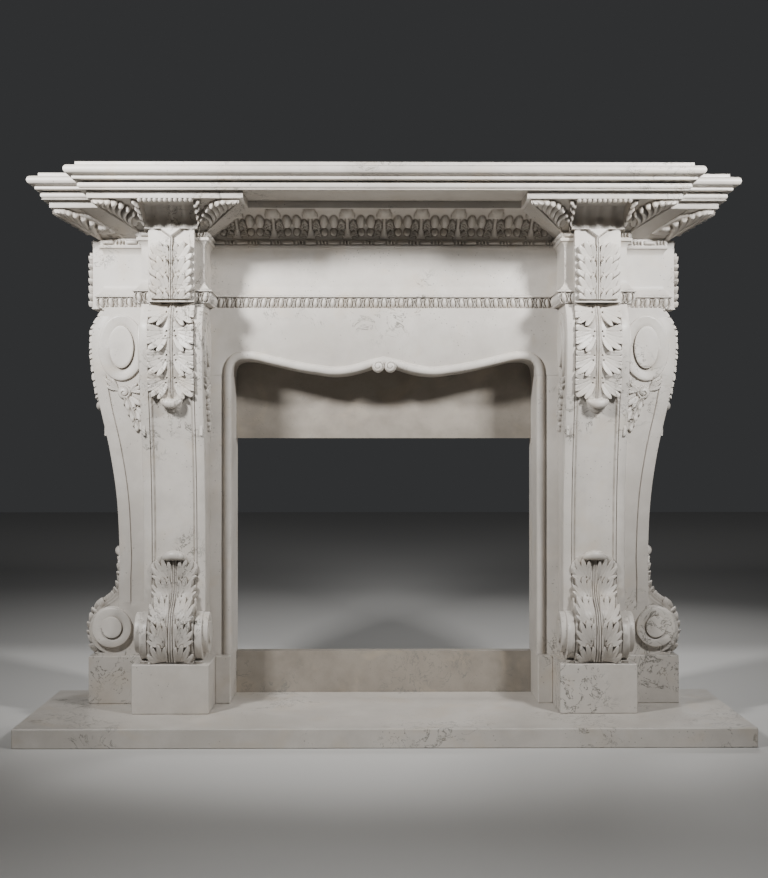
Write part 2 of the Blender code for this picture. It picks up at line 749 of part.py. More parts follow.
def cove_out(share):
    """How far the cove has flared, 0 to 1, at a share of its height: a quarter round that opens upward."""
    return 1.0 - math.sqrt(max(0.0, 1.0 - share**2))


def leaf_out(share, lateral):
    """How much further than the cove the corner leaf stands, 0 to 1, fading from the corner's edge."""
    swell = share**0.9 - cove_out(share)
    return swell * (1.0 - 0.3 * lateral)


def cove_run(share, base, flare, z, kind):
    """One run of the cove, between corners whose neck and fascia places are given.

    kind says what is carved on it: nothing, the centre's row of stems and pods, or the corner leaves
    at its start, its end or both. base and flare are (start, end) pairs of plan points.
    """
    start, end = (np.array(base[i]) + outward_corner(base[i], flare[i]) * cove_out(share) for i in (0, 1))
    along = np.array(base[1]) - np.array(base[0])
    along = along / np.linalg.norm(along)
    outward = np.array((along[1], -along[0]))
    reach = float(np.dot(np.array(flare[0]) - np.array(base[0]), outward))
    if kind == "plain":
        return [(*start, z), (*end, z)]
    points = []
    if kind == "motif":
        # The half row from the centre: a stem on the centre line, pods between stems
        count = max(1, round(base[1][0] / MOTIF_PITCH))
        beat = MOTIF_CAPS if share > CAPS_FROM else MOTIF_BEAT
        steps = count * len(beat)
        fade = 4.0 * share * (1.0 - share)
        for i in range(steps + 1):
            place = start + (end - start) * (i / steps)
            stand = MOTIF_RELIEF * beat[i % len(beat)] * fade if i < steps else 0.0
            points.append((*(place + outward * stand), z))
        return points
    fade = 4.0 * share * (1.0 - share) * SIDE_RIDGE_SHARE
    leaf_first = kind in ("start", "both")
    leaf_last = kind in ("end", "both")
    ribs = len(CORNER_RIDGES)
    laterals = []
    if leaf_first:
        laterals += [(i * CORNER_LEAF_REACH, i) for i in range(1, ribs + 1)]
    if leaf_last:
        laterals += [(1.0 - i * CORNER_LEAF_REACH, i) for i in range(ribs, 0, -1)]
    first = start + (outward_corner(base[0], flare[0]) * leaf_out(share, 0.0) if leaf_first else 0.0)
    last = end + (outward_corner(base[1], flare[1]) * leaf_out(share, 0.0) if leaf_last else 0.0)
    points.append((*first, z))
    for place, i in laterals:
        if i == 1:
            point = first + (last - first) * place
        else:
            stand = reach * leaf_out(share, i / ribs) + CORNER_LEAF_RELIEF * CORNER_RIDGES[i - 1] * fade
            point = start + (end - start) * place + outward * stand
        points.append((*point, z))
    points.append((*last, z))
    return points


def outward_corner(base, flare):
    """The plan vector from a corner's neck place to its fascia place."""
    return np.array(flare) - np.array(base)


def niche_front(share, base, flare, z):
    """The front of the capital over a console: corner leaf, niche with its fluted drum, corner leaf."""
    start, end = (np.array(base[i]) + outward_corner(base[i], flare[i]) * cove_out(share) for i in (0, 1))
    reach = base[0][1] - flare[0][1]
    half = NICHE_HALF_WIDTH
    first = start + outward_corner(base[0], flare[0]) * leaf_out(share, 0.0)
    last = end + outward_corner(base[1], flare[1]) * leaf_out(share, 0.0)
    fade = 4.0 * share * (1.0 - share)
    front_left, front_right = [], []
    ribs = len(CORNER_RIDGES)
    for i in range(1, ribs):
        lateral = i / ribs
        stand = reach * leaf_out(share, lateral) + CORNER_LEAF_RELIEF * CORNER_RIDGES[i - 1] * fade
        x_left = first[0] + (LEG_X - half - first[0]) * lateral
        x_right = last[0] + (LEG_X + half - last[0]) * lateral
        front_left.append((x_left, start[1] - stand, z))
        front_right.append((x_right, start[1] - stand, z))
    edge = start[1] - reach * leaf_out(share, 1.0) - CORNER_LEAF_RELIEF * NICHE_EDGE_SHARE * fade
    drum = base[0][1] - NICHE_SETBACK + NICHE_SWELL * math.sin(math.pi * share)
    wide = half * DRUM_SHARE
    flutes = []
    steps = 2 * NICHE_FLUTES
    for i in range(steps + 1):
        x = LEG_X - wide + 2 * wide * i / steps
        flutes.append((x, drum + (FLUTE_DEPTH if i % 2 else 0.0), z))
    edge = min(edge, drum - NICHE_LIP)
    return ([(*first, z)] + front_left + [(LEG_X - half, edge, z)] + flutes + [(LEG_X + half, edge, z)]
            + front_right[::-1] + [(*last, z)])


def cornice_level(share, z):
    """One level of the cove: the centre row, the two capitals' faces and the leg's side."""
    start_out = BEAD_PROJECTION
    base = corners(start_out, start_out)
    flare = corners(FLARE_X, FLARE_Y)
    kinds = ("motif", "end", "niche", "start", "end", "start", "plain")
    runs = []
    for i, kind in enumerate(kinds):
        pair = (base[i], base[i + 1])
        wide = (flare[i], flare[i + 1])
        if kind == "niche":
            runs.append(niche_front(share, pair, wide, z))
        elif i == 6:
            runs.append(line((runs[-1][-1][0], WALL_Y), base[7], z))
        else:
            runs.append(cove_run(share, pair, wide, z, kind))
    return runs


def cornice_course(group):
    """The carved cove and the fascia over it, which breaks forward over each leg."""
    foot = CORNICE_Z
    cove_top = foot + COVE_HEIGHT
    levels = []
    for share in COVE_LEVELS:
        levels.append(cornice_level(share, foot + COVE_HEIGHT * share))
    outline = corners(FLARE_X, FLARE_Y)
    for z in (cove_top, SHELF_Z - JOINT):
        levels.append([line(outline[i], outline[i + 1], z) for i in range(7)])
    mirror_across_x(named("cornice_course", course(levels), STONE, group))


def shelf(group):
    """The mantel shelf: it breaks forward in one piece over both legs and the middle."""
    levels = []
    half_break = LEG_X + NECK_HALF + FLARE_X
    side = SIDE_X + FLARE_X
    break_y, wing_y = NECK_Y - FLARE_Y, MAIN_Y - FLARE_Y
    for out, rise in SHELF_PROFILE:
        plan = [(0.0, break_y - out), (half_break + out, break_y - out), (half_break + out, wing_y - out),
                (side + out, wing_y - out), (side + out, WALL_Y), (0.0, WALL_Y)]
        levels.append([line(plan[i], plan[i + 1], SHELF_Z + rise) for i in range(5)])
    mirror_across_x(named("mantel_shelf", course(levels), STONE, group))


def main():
    """Builds every stone of the mantel."""
    clear_scene()
    group = collection("fireplace_mantel")
    helpers = collection("helpers")
    hearth(group)
    plinths(group)
    piers(group)
    consoles(group, helpers)
    jambs(group)
    slips(group)
    lintel(group, helpers)
    frieze_course(group)
    cornice_course(group)
    shelf(group)


main()
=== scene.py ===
"""The looks of a carved stone fireplace mantel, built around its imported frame.

Plain blocks keep their frame nodes and get a stone finish. Every carved or moulded stone is a new piece
of closed shells, worked out with numpy as surfaces of two parameters: rings of points carried along a
path, with the carving added as a height above a smooth base.
"""
import json
import logging
import math
from collections.abc import Callable, Iterable
from dataclasses import dataclass, field, replace
from enum import Enum

import bpy
import numpy as np
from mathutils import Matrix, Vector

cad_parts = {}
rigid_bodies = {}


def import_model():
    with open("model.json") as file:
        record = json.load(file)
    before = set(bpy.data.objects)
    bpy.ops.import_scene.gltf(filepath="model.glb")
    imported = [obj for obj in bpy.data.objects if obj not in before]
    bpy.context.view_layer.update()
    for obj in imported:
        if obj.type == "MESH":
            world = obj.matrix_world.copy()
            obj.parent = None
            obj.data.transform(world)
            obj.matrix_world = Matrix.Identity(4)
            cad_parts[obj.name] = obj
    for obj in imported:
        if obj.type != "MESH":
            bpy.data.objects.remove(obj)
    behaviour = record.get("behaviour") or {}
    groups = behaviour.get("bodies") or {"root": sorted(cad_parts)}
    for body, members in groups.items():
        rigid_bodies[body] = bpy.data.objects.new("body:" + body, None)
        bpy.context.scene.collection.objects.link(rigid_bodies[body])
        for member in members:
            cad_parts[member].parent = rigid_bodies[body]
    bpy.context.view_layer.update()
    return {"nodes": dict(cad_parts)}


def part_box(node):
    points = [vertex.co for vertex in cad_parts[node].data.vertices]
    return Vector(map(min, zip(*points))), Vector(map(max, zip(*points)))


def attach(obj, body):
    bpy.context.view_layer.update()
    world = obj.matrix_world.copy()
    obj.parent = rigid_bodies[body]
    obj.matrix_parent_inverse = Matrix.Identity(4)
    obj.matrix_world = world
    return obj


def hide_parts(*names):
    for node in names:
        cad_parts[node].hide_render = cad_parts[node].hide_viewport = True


LOG = logging.getLogger("mantel")
BODY = "root"
SHARP_ANGLE = math.radians(50.0)
BURIED = -0.004  # height of a carving's ground where it lies hidden inside the stone behind it

FLARE_X = 0.130  # how far the capitals and the shelf reach past the frieze's side faces
FLARE_Y = 0.165  # how far they reach past its front faces
MAIN_DEEP = 0.167  # from the wall to the frieze's main face
NECK_DEEP = 0.331  # from the wall to its face over a leg
SIDE_REACH = 0.239  # from a leg's middle to the frieze's side face
ROLL_PROUD = 0.012  # how far the jambs' roll stands out of their plain face

Point2 = tuple[float, float]
Point3 = tuple[float, float, float]
Colour = tuple[float, float, float, float]


class Slot(Enum):
    """The record's material slots."""

    CARVED = "carved_stone"
    HEARTH = "hearth_stone"
    SLIP = "slip_stone"


# Meshes


class Shells:
    """Closed shells gathered into one mesh, with a value at each point for how deep it lies in the carving."""

    def __init__(self) -> None:
        """Starts with no shell."""
        self.points: list[np.ndarray] = []
        self.hollows: list[np.ndarray] = []
        self.corners: list[np.ndarray] = []
        self.sizes: list[np.ndarray] = []
        self.count = 0

    def loft(self, rings: np.ndarray, hollow: np.ndarray | None = None) -> None:
        """Adds a closed shell: quads between each closed ring and the next, and a flat face at either end.

        Its faces are turned to point outwards: the volume, summed over the faces' cones from the
        origin, is positive only where they do.

        Args:
            rings: rings by points by 3.
            hollow: how deep each point lies in the carving, 0 to 1, rings by points.
        """
        rows, columns = rings.shape[:2]
        index = np.arange(rows * columns).reshape(rows, columns)
        low, high = index[:-1], index[1:]
        quads = np.stack([low, np.roll(low, -1, 1), np.roll(high, -1, 1), high], axis=-1).reshape(-1, 4)
        foot, head = index[0][::-1], index[-1]
        flat = rings.reshape(-1, 3) - rings.reshape(-1, 3).mean(0)
        fans = [np.stack([np.full(columns - 2, cap[0]), cap[1:-1], cap[2:]], axis=1) for cap in (foot, head)]
        thirds = np.concatenate([quads[:, :3], quads[:, [0, 2, 3]], *fans])
        if np.linalg.det(flat[thirds]).sum() < 0:
            quads, foot, head = quads[:, ::-1], foot[::-1], head[::-1]
        self.points.append(rings.reshape(-1, 3))
        self.hollows.append(np.zeros(rows * columns) if hollow is None else np.asarray(hollow).ravel())
        self.corners += [(quads + self.count).ravel(), foot + self.count, head + self.count]
        self.sizes += [np.full(len(quads), 4), np.array([columns, columns])]
        self.count += rows * columns

    def piece(self, name: str, material: bpy.types.Material, slot: Slot, *nodes: str) -> None:
        """Makes the piece, which rides on the frame and stands for the given nodes.

        Args:
            name: the piece's name.
            material: its finish.
            slot: the record's material slot; not used.
            nodes: the frame nodes that it replaces.
        """
        mesh = bpy.data.meshes.new(name)
        points = np.concatenate(self.points).astype(np.float32)
        corners = np.concatenate(self.corners).astype(np.int32)
        sizes = np.concatenate(self.sizes)
        mesh.vertices.add(len(points))
        mesh.vertices.foreach_set("co", points.ravel())
        mesh.loops.add(len(corners))
        mesh.loops.foreach_set("vertex_index", corners)
        mesh.polygons.add(len(sizes))
        mesh.polygons.foreach_set("loop_start", (np.cumsum(sizes) - sizes).astype(np.int32))
        mesh.update(calc_edges=True)
        mesh.shade_smooth()
        mesh.set_sharp_from_angle(angle=SHARP_ANGLE)
        depth = mesh.attributes.new("hollow", "FLOAT", "POINT")
        depth.data.foreach_set("value", np.concatenate(self.hollows).astype(np.float32))
        mesh.materials.append(material)
        made = bpy.data.objects.new(name, mesh)
        bpy.context.scene.collection.objects.link(made)
        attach(made, BODY)
        if nodes:
            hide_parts(*nodes)
        LOG.info("%s: %d points, %d faces", name, len(points), len(sizes))


def smooth_through(at: np.ndarray, places: Iterable[float], values: Iterable[float]) -> np.ndarray:
    """A smooth curve through given points: cubics that meet at each point with one slope.

    Args:
        at: where the curve is read.
        places: the points' places, rising.
        values: the points' values.

    Returns:
        The curve's values.
    """
    x, y = np.asarray(tuple(places)), np.asarray(tuple(values))
    slope = np.gradient(y, x)
    at = np.clip(at, x[0], x[-1])
    i = np.clip(np.searchsorted(x, at) - 1, 0, len(x) - 2)
    width = x[i + 1] - x[i]
    t = (at - x[i]) / width
    rise = y[i + 1] - y[i]
    ease = t * t * (3.0 - 2.0 * t)
    lead = t * (1.0 - t) ** 2 * width * slope[i] - t * t * (1.0 - t) * width * slope[i + 1]
    return y[i] + rise * ease + lead


def crease(height: np.ndarray, reach: int = 3, full: float = 0.0030) -> np.ndarray:
    """How far each point of a height field lies below the mean of its surroundings, 0 to 1.

    Args:
        height: the field, rows by columns.
        reach: half the side of the square that the mean is taken over.
        full: the depth below the mean that counts as 1.

    Returns:
        The share, as large as the field.
    """
    padded = np.pad(height, reach, mode="edge")
    total = np.zeros_like(height)
    side = 2 * reach + 1
    for i in range(side):
        for j in range(side):
            total += padded[i:i + height.shape[0], j:j + height.shape[1]]
    return np.clip((total / side**2 - height) / full, 0.0, 1.0)


# Carving


@dataclass(frozen=True)
class Stroke:
    """A rounded ridge along a bent line on the carved face, such as a leaf's finger or its stem.

    The line is a quadratic curve from start to end that bends towards a third point. Half-widths and
    heights are given at its start, middle and end. Sizes are in metres.
    """

    start: Point2
    bend: Point2
    end: Point2
    widths: tuple[float, float, float]
    heights: tuple[float, float, float]

    def height(self, across: np.ndarray, along: np.ndarray, steps: int = 8) -> np.ndarray:
        """The ridge's height: at distance d from the line, h * sqrt(1 - (d / w)^2), and far below outside it.

        Args:
            across: places on the face.
            along: places on the face.
            steps: straight parts that the line is read in.

        Returns:
            The height at each place.
        """
        shares = np.linspace(0.0, 1.0, steps + 1)
        start, bend, end = map(np.array, (self.start, self.bend, self.end))
        line = np.outer((1 - shares) ** 2, start) + np.outer(2 * shares * (1 - shares), bend)
        line += np.outer(shares**2, end)
        best = np.full(across.shape, -1.0)
        for i in range(steps):
            part = line[i + 1] - line[i]
            reach = max(float(part @ part), 1e-12)
            s = np.clip(((across - line[i, 0]) * part[0] + (along - line[i, 1]) * part[1]) / reach, 0.0, 1.0)
            away = np.hypot(across - line[i, 0] - s * part[0], along - line[i, 1] - s * part[1])
            share = (i + s) / steps
            wide = np.interp(share, (0.0, 0.5, 1.0), self.widths)
            high = np.interp(share, (0.0, 0.5, 1.0), self.heights)
            ratio = away / wide
            found = high * np.sqrt(np.clip(1.0 - ratio**2, 0.0, 1.0))
            best = np.where(ratio < 1.0, np.maximum(best, found), best)
        return best


@dataclass(frozen=True)
class Lobe:
    """One lobe of a leaf: fingers that fan out from its root and fuse into a broad blade.

    In polar terms about the root, the edge lies at a distance that runs through the given reaches from
    the first angle to the last and is notched between fingers. The blade climbs from its root to that
    edge with a groove between neighbouring fingers, and then drops away, which leaves a deep undercut.
    Angles are in degrees from the along axis towards the across axis.
    """

    root: Point2
    angles: tuple[float, float]
    reaches: tuple[float, ...]
    fingers: int
    rise: tuple[float, float]
    notch: float = 0.26
    groove: float = 0.0045
    swirl: float = 0.0
    wall: float = 0.0022

    def height(self, across: np.ndarray, along: np.ndarray) -> np.ndarray:
        """The blade's height, and far below outside it.

        Args:
            across: places on the face.
            along: places on the face.

        Returns:
            The height at each place.
        """
        out, up = across - self.root[0], along - self.root[1]
        reach = np.hypot(out, up)
        first, last = self.angles
        middle = (first + last) / 2.0
        angle = np.degrees(np.arctan2(out, up)) - self.swirl * reach / max(self.reaches)
        share = ((angle - middle + 180.0) % 360.0 - 180.0) / (last - first) + 0.5
        finger = np.clip(share, 0.0, 1.0) * self.fingers
        side = np.abs(finger - np.floor(np.minimum(finger, self.fingers - 1e-6)) - 0.5) * 2.0
        edge = np.interp(np.clip(share, 0.0, 1.0), np.linspace(0.0, 1.0, len(self.reaches)), self.reaches)
        edge = edge * (1.0 - self.notch * side**2)
        ratio = reach / edge
        climb = np.clip(ratio, 0.0, 1.0)
        blade = self.rise[0] + (self.rise[1] - self.rise[0]) * climb**1.3
        blade = blade - self.groove * (1.0 - np.sqrt(np.clip(1.0 - 0.96 * side**2, 0.0, 1.0))) * climb**0.6
        blade = blade - 0.0030 * np.clip((climb - 0.80) / 0.20, 0.0, 1.0) ** 2
        past = np.clip((reach - edge) / self.wall, 0.0, 1.0)
        outside = np.maximum(-share, share - 1.0) * np.radians(abs(last - first)) * reach
        fall = np.maximum(past, np.clip(outside / self.wall, 0.0, 1.0))
        return np.where(fall < 1.0, blade * (1.0 - fall**2) + BURIED * fall**2, -1.0)


@dataclass(frozen=True)
class Rosette:
    """A small domed spiral."""

    place: Point2
    radius: float
    top: float

    def height(self, across: np.ndarray, along: np.ndarray) -> np.ndarray:
        """A dome with a spiral groove, and far below outside it."""
        out, up = across - self.place[0], along - self.place[1]
        reach = np.hypot(out, up) / self.radius
        coil = (np.arctan2(up, out) / (2.0 * math.pi) + 1.6 * reach) % 1.0
        groove = np.exp(-((coil - 0.5) / 0.13) ** 2) * np.clip((reach - 0.12) * 8.0, 0.0, 1.0)
        dome = self.top * np.sqrt(np.clip(1.0 - 0.92 * reach**2, 0.0, 1.0)) - 0.30 * self.top * groove
        return np.where(reach < 1.0, dome, -1.0)


@dataclass(frozen=True)
class Hole:
    """A small drilled hole."""

    place: Point2
    radius: float
    depth: float = 0.010


Shape = Stroke | Lobe | Rosette


def carve(shapes: Iterable[Shape], holes: Iterable[Hole], across: np.ndarray, along: np.ndarray,
          ground: float = BURIED) -> np.ndarray:
    """The carved height: the highest of the ground and all shapes, less the drilled holes.

    Args:
        shapes: ridges, lobes and rosettes.
        holes: the holes.
        across: places on the face.
        along: places on the face.
        ground: the height where nothing is carved.

    Returns:
        The height at each place.
    """
    height = np.full(across.shape, ground)
    for shape in shapes:
        height = np.maximum(height, shape.height(across, along))
    for hole in holes:
        away = np.hypot(across - hole.place[0], along - hole.place[1])
        height = height - hole.depth * np.clip(1.0 - (away / hole.radius) ** 2, 0.0, 1.0)
    return height


def relief_rings(front: np.ndarray, back: np.ndarray, height: np.ndarray) -> tuple[np.ndarray, np.ndarray]:
    """Closed rings of a relief: each row of its front, closed by two points behind it.

    Args:
        front: rows by columns by 3.
        back: rows by 2 by 3, the points behind the row's last and first points.
        height: the carved height, rows by columns.

    Returns:
        The rings, rows by (columns + 2) by 3, and how deep each of their points lies in the carving.
    """
    # The crease share marks the carving's recesses for painted shade and patina in the finish.
    hollow = np.concatenate([crease(height), np.zeros((len(height), 2))], axis=1)
    return np.concatenate([front, back], axis=1), hollow


@dataclass(frozen=True)
class Leaf:
    """An acanthus leaf: pairs of lobes along a ribbed stem, one pair a tier; its right half is described."""

    length: float
    half_width: float
    roots: tuple[float, ...]
    lobe: Lobe
    extra: tuple[Shape, ...]
    stem: tuple[float, float]
    ribs: int
    hole: float

    def shapes(self) -> list[Shape]:
        """The lobes of the right half, the ribs of the stem, and the leaf's own additions."""
        made: list[Shape] = [replace(self.lobe, root=(self.lobe.root[0], root)) for root in self.roots]
        for rib in range(self.ribs):
            place = self.stem[0] * (rib + 0.5) / self.ribs
            wide = self.stem[0] / self.ribs * 0.55
            high = self.stem[1]
            made.append(Stroke((place * 1.25, -0.01), (place, self.length / 2), (place * 0.75, self.length * 0.96),
                               (wide * 1.2, wide, wide * 0.8), (high * 0.8, high, high * 0.9)))
        return made + list(self.extra)

    def holes(self) -> list[Hole]:
        """The pairs of drilled eyes beside the stem, where each tier springs."""
        spring = self.stem[0] + 0.005
        return [Hole((spring + step * 0.002, root + step * 0.008), self.hole)
                for root in self.roots for step in (0.4, 2.2)]


# Finishes


class Wire:
    """A shader socket that takes part in Python arithmetic, which adds its Math nodes."""

    def __init__(self, graph: "Graph", socket: bpy.types.NodeSocket) -> None:
        """Wraps a socket of a graph."""
        self.graph = graph
        self.socket = socket

    def math(self, operation: str, *values: "Wire | float") -> "Wire":
        """A Math node on this socket and the given values."""
        return self.graph.node("ShaderNodeMath", {"operation": operation}, dict(enumerate((self, *values))))

    def __add__(self, other: "Wire | float") -> "Wire":
        """Sum."""
        return self.math("ADD", other)

    def __mul__(self, other: "Wire | float") -> "Wire":
        """Product."""
        return self.math("MULTIPLY", other)

    def __sub__(self, other: "Wire | float") -> "Wire":
        """Difference."""
        return self.math("SUBTRACT", other)

    def band(self, low: float, high: float) -> "Wire":
        """A smooth step that goes from 0 at low to 1 at high, or down where low is above high."""
        return self.graph.node("ShaderNodeMapRange", {"interpolation_type": "SMOOTHSTEP"},
                               {"Value": self, "From Min": low, "From Max": high})


class Graph:
    """The node graph of one material."""

    def __init__(self, name: str) -> None:
        """Makes the material and empties its graph but for the shader and the output."""
        self.material = bpy.data.materials.new(name)
        self.material.use_nodes = True
        self.tree = self.material.node_tree
        self.shader = self.tree.nodes["Principled BSDF"]

    def node(self, kind: str, settings: dict[str, object], values: dict[object, object],
             output: int | str = 0) -> Wire:
        """Adds a node.

        Args:
            kind: the node's type.
            settings: its own settings, set first.
            values: what its sockets hold, a number, a tuple or a Wire, by name or place.
            output: the socket that is returned.

        Returns:
            The output, wrapped.
        """
        made = self.tree.nodes.new(kind)
        for name, value in settings.items():
            setattr(made, name, value)
        for place, value in values.items():
            if isinstance(value, Wire):
                self.tree.links.new(value.socket, made.inputs[place])
            else:
                made.inputs[place].default_value = value
        return Wire(self, made.outputs[output])

    def mix(self, factor: Wire, first: object, second: object) -> Wire:
        """A colour between two, by a factor."""
        made = self.tree.nodes.new("ShaderNodeMix")
        made.data_type = "RGBA"
        sockets = {"Factor": made.inputs[0], "A": made.inputs[6], "B": made.inputs[7]}
        for name, value in (("Factor", factor), ("A", first), ("B", second)):
            if isinstance(value, Wire):
                self.tree.links.new(value.socket, sockets[name])
            else:
                sockets[name].default_value = value
        return Wire(self, made.outputs[2])

    def into(self, place: str, value: Wire) -> None:
        """Feeds one of the shader's sockets."""
        self.tree.links.new(value.socket, self.shader.inputs[place])


@dataclass(frozen=True)
class StoneFinish:
    """Honed cream marble: soft clouds, clusters of hairline veins, small pits, and painted shade with patina
    darkening the carving.
    """

    name: str
    pale: Colour = (0.560, 0.525, 0.480, 1.0)
    deep: Colour = (0.470, 0.437, 0.395, 1.0)
    vein: Colour = (0.190, 0.178, 0.155, 1.0)
    rust: Colour = (0.500, 0.405, 0.285, 1.0)
    # Dark brown for the painted shade and patina in the carving's hollows.
    patina_and_shade_colour: Colour = (0.150, 0.122, 0.090, 1.0)
    roughness: float = 0.42
    veins: float = 1.0

    def make(self) -> bpy.types.Material:
        """Builds the material on object coordinates."""
        graph = Graph(self.name)
        place = graph.node("ShaderNodeTexCoord", {}, {}, "Object")

        def noise(scale: float, detail: float, warp: float = 0.0, rough: float = 0.5) -> Wire:
            return graph.node("ShaderNodeTexNoise", {},
                              {"Vector": place, "Scale": scale, "Detail": detail, "Distortion": warp,
                               "Roughness": rough})

        clouds = noise(3.2, 5.0, 0.4, 0.55)
        mottle = noise(21.0, 4.0, 0.2, 0.6)
        shade = (clouds * 0.65 + mottle * 0.35).band(0.36, 0.64)
        colour = graph.mix(shade, self.deep, self.pale)
        cluster = noise(2.7, 2.0, 0.5).band(0.53, 0.63)
        hair = (noise(13.0, 6.0, 1.4, 0.66) - 0.5).math("ABSOLUTE").band(0.022, 0.004)
        fleck = noise(42.0, 3.0, 0.3, 0.7).band(0.40, 0.50)
        veining = hair * cluster * fleck * (1.15 * self.veins)
        colour = graph.mix(veining, colour, self.vein)
        cells = graph.node("ShaderNodeTexVoronoi", {"feature": "F1"},
                           {"Vector": place, "Scale": 85.0}, "Distance")
        chosen = noise(11.0, 2.0, 0.3).band(0.54, 0.60)
        pits = cells.band(0.20, 0.09) * chosen
        colour = graph.mix(pits * 0.75, colour, self.vein)
        hollow = graph.node("ShaderNodeAttribute", {"attribute_name": "hollow"}, {}, "Fac")
        stain = noise(9.0, 4.0, 0.6).band(0.52, 0.72)
        colour = graph.mix(stain * 0.22, colour, self.rust)
        # Painted shade and patina: the colour turns dark brown where the hollow attribute marks the carving's
        # recesses.
        shade_and_patina = hollow * (noise(38.0, 4.0).band(0.25, 0.65) * 0.5 + 0.5)
        colour = graph.mix(shade_and_patina * 0.86, colour, self.patina_and_shade_colour)
        graph.into("Base Color", colour)
        graph.into("Roughness", mottle * 0.16 + hollow * 0.3 + (self.roughness - 0.08))
        grain = noise(420.0, 3.0, 0.0, 0.6) * 0.35 + noise(60.0, 3.0) * 0.25 - pits - veining * 0.4
        bump = graph.node("ShaderNodeBump", {}, {"Strength": 0.35, "Distance": 0.0012, "Height": grain})
        graph.into("Normal", bump)
        graph.shader.inputs["Metallic"].default_value = 0.0
        return graph.material


# Sizes shared by the stones


@dataclass(frozen=True)
class Plan:
    """Places of the mantel's main lines, read from the frame, and the widths that set its breaks."""

    leg_x: float
    main_y: float
    neck_y: float
    side_x: float
    wall_y: float
    neck_half: float = 0.094

    def corners(self, out_x: np.ndarray, out_y: np.ndarray) -> np.ndarray:
        """The frieze's plan moved out, from the left wall round the front to the right wall.

        Args:
            out_x: how far its side faces are moved out.
            out_y: how far its front faces are moved out.

        Returns:
            The given shape by 12 corners by 2.
        """
        out_x, out_y = np.broadcast_arrays(np.asarray(out_x, float), np.asarray(out_y, float))
        inner, outer = self.leg_x - self.neck_half - out_x, self.leg_x + self.neck_half + out_x
        side, main, neck = self.side_x + out_x, self.main_y - out_y, self.neck_y - out_y
        wall = np.full(out_x.shape, self.wall_y)
        xs = np.stack([inner, inner, outer, outer, side, side], axis=-1)
        ys = np.stack([main, neck, neck, main, main, wall], axis=-1)
        xs = np.concatenate([-xs[..., ::-1], xs], axis=-1)
        ys = np.concatenate([ys[..., ::-1], ys], axis=-1)
        return np.stack([xs, ys], axis=-1)


def stack(shells: Shells, plans: np.ndarray, heights: np.ndarray) -> None:
    """Adds a solid of stacked outlines: one ring for each height.

    Args:
        shells: where it goes.
        plans: levels by corners by 2.
        heights: one for each level.
    """
    tall = np.broadcast_to(np.asarray(heights)[:, None, None], plans.shape[:2] + (1,))
    shells.loft(np.concatenate([plans, tall], axis=-1))


Relief = Callable[[np.ndarray, np.ndarray], np.ndarray]


def carried(shells: Shells, plan: Plan, section: np.ndarray, back: np.ndarray, runs: range,
            pitch: float, stations: int, relief: Relief) -> None:
    """Adds a carved band: its section is carried along runs of the plan, round the corners.

    The relief stands out along the section's own normal, and has whole repeats on each run.

    Args:
        shells: where it goes.
        plan: the plan that it follows.
        section: carved points by 3: how far out on x, how far out on y, and height.
        back: two points by 3 that close the section inside the stone.
        runs: the plan's runs that it follows, one after another.
        pitch: the length of one repeat, roughly.
        stations: rings in one repeat.
        relief: height from the place in the repeats and the share of the section.
    """
    ring = np.concatenate([section, back])
    out, tall = ring[:, :2], ring[:, 2]
    across = np.gradient(section[:, 1])
    up = np.gradient(section[:, 2])
    size = np.hypot(across, up)
    face = np.concatenate([np.stack([up / size, -across / size], axis=1), np.zeros((2, 2))])
    share = np.concatenate([np.linspace(0.0, 1.0, len(section)), (1.0, 0.0)])
    on_face = np.concatenate([np.ones(len(section)), np.zeros(2)])
    rings, hollows = [], []
    for run in runs:
        ends = plan.corners(out[:, 0], out[:, 1])[:, run:run + 2]
        line = ends[:, 1] - ends[:, 0]
        length = float(np.linalg.norm(line.mean(0)))
        repeats = max(1, round(length / pitch))
        last = run == runs[-1]
        count = repeats * stations + (1 if last else 0)
        s = np.arange(count) / (repeats * stations)
        lift = relief(s[:, None] * repeats, share[None, :]) * on_face
        heading = line.mean(0) / length
        normal = np.array([heading[1], -heading[0]])
        flat = ends[None, :, 0] + line[None] * s[:, None, None]
        flat = flat + (lift * face[:, 0])[..., None] * normal
        moved = plan.corners(out[:, 0] + lift[0] * face[:, 0], out[:, 1] + lift[0] * face[:, 0])
        flat[0] = moved[:, run]
        if last:
            moved = plan.corners(out[:, 0] + lift[-1] * face[:, 0], out[:, 1] + lift[-1] * face[:, 0])
            flat[-1] = moved[:, run + 1]
        rings.append(np.concatenate([flat, (tall + lift * face[:, 1])[..., None]], axis=-1))
        # The creases between the eggs and beads are marked for painted shade and patina in the finish.
        hollows.append(crease(lift, 2, 0.0020) * on_face)
    shells.loft(np.concatenate(rings), np.concatenate(hollows))


# Consoles


@dataclass(frozen=True)
class Lip:
    """The curled tip of a leaf: its height, its leaf's way, half-sizes, and how far it stands out of the panel."""

    rise: float
    way: float
    wide: float
    tall: float
    deep: float
    stand: float


@dataclass(frozen=True)
class Volute:
    """A volute: centre as stand-out and height, both radii, its eye's radii, and how proud it and its eye are."""

    centre: Point2
    radii: Point2
    eye: Point2
    proud: float
    step: float


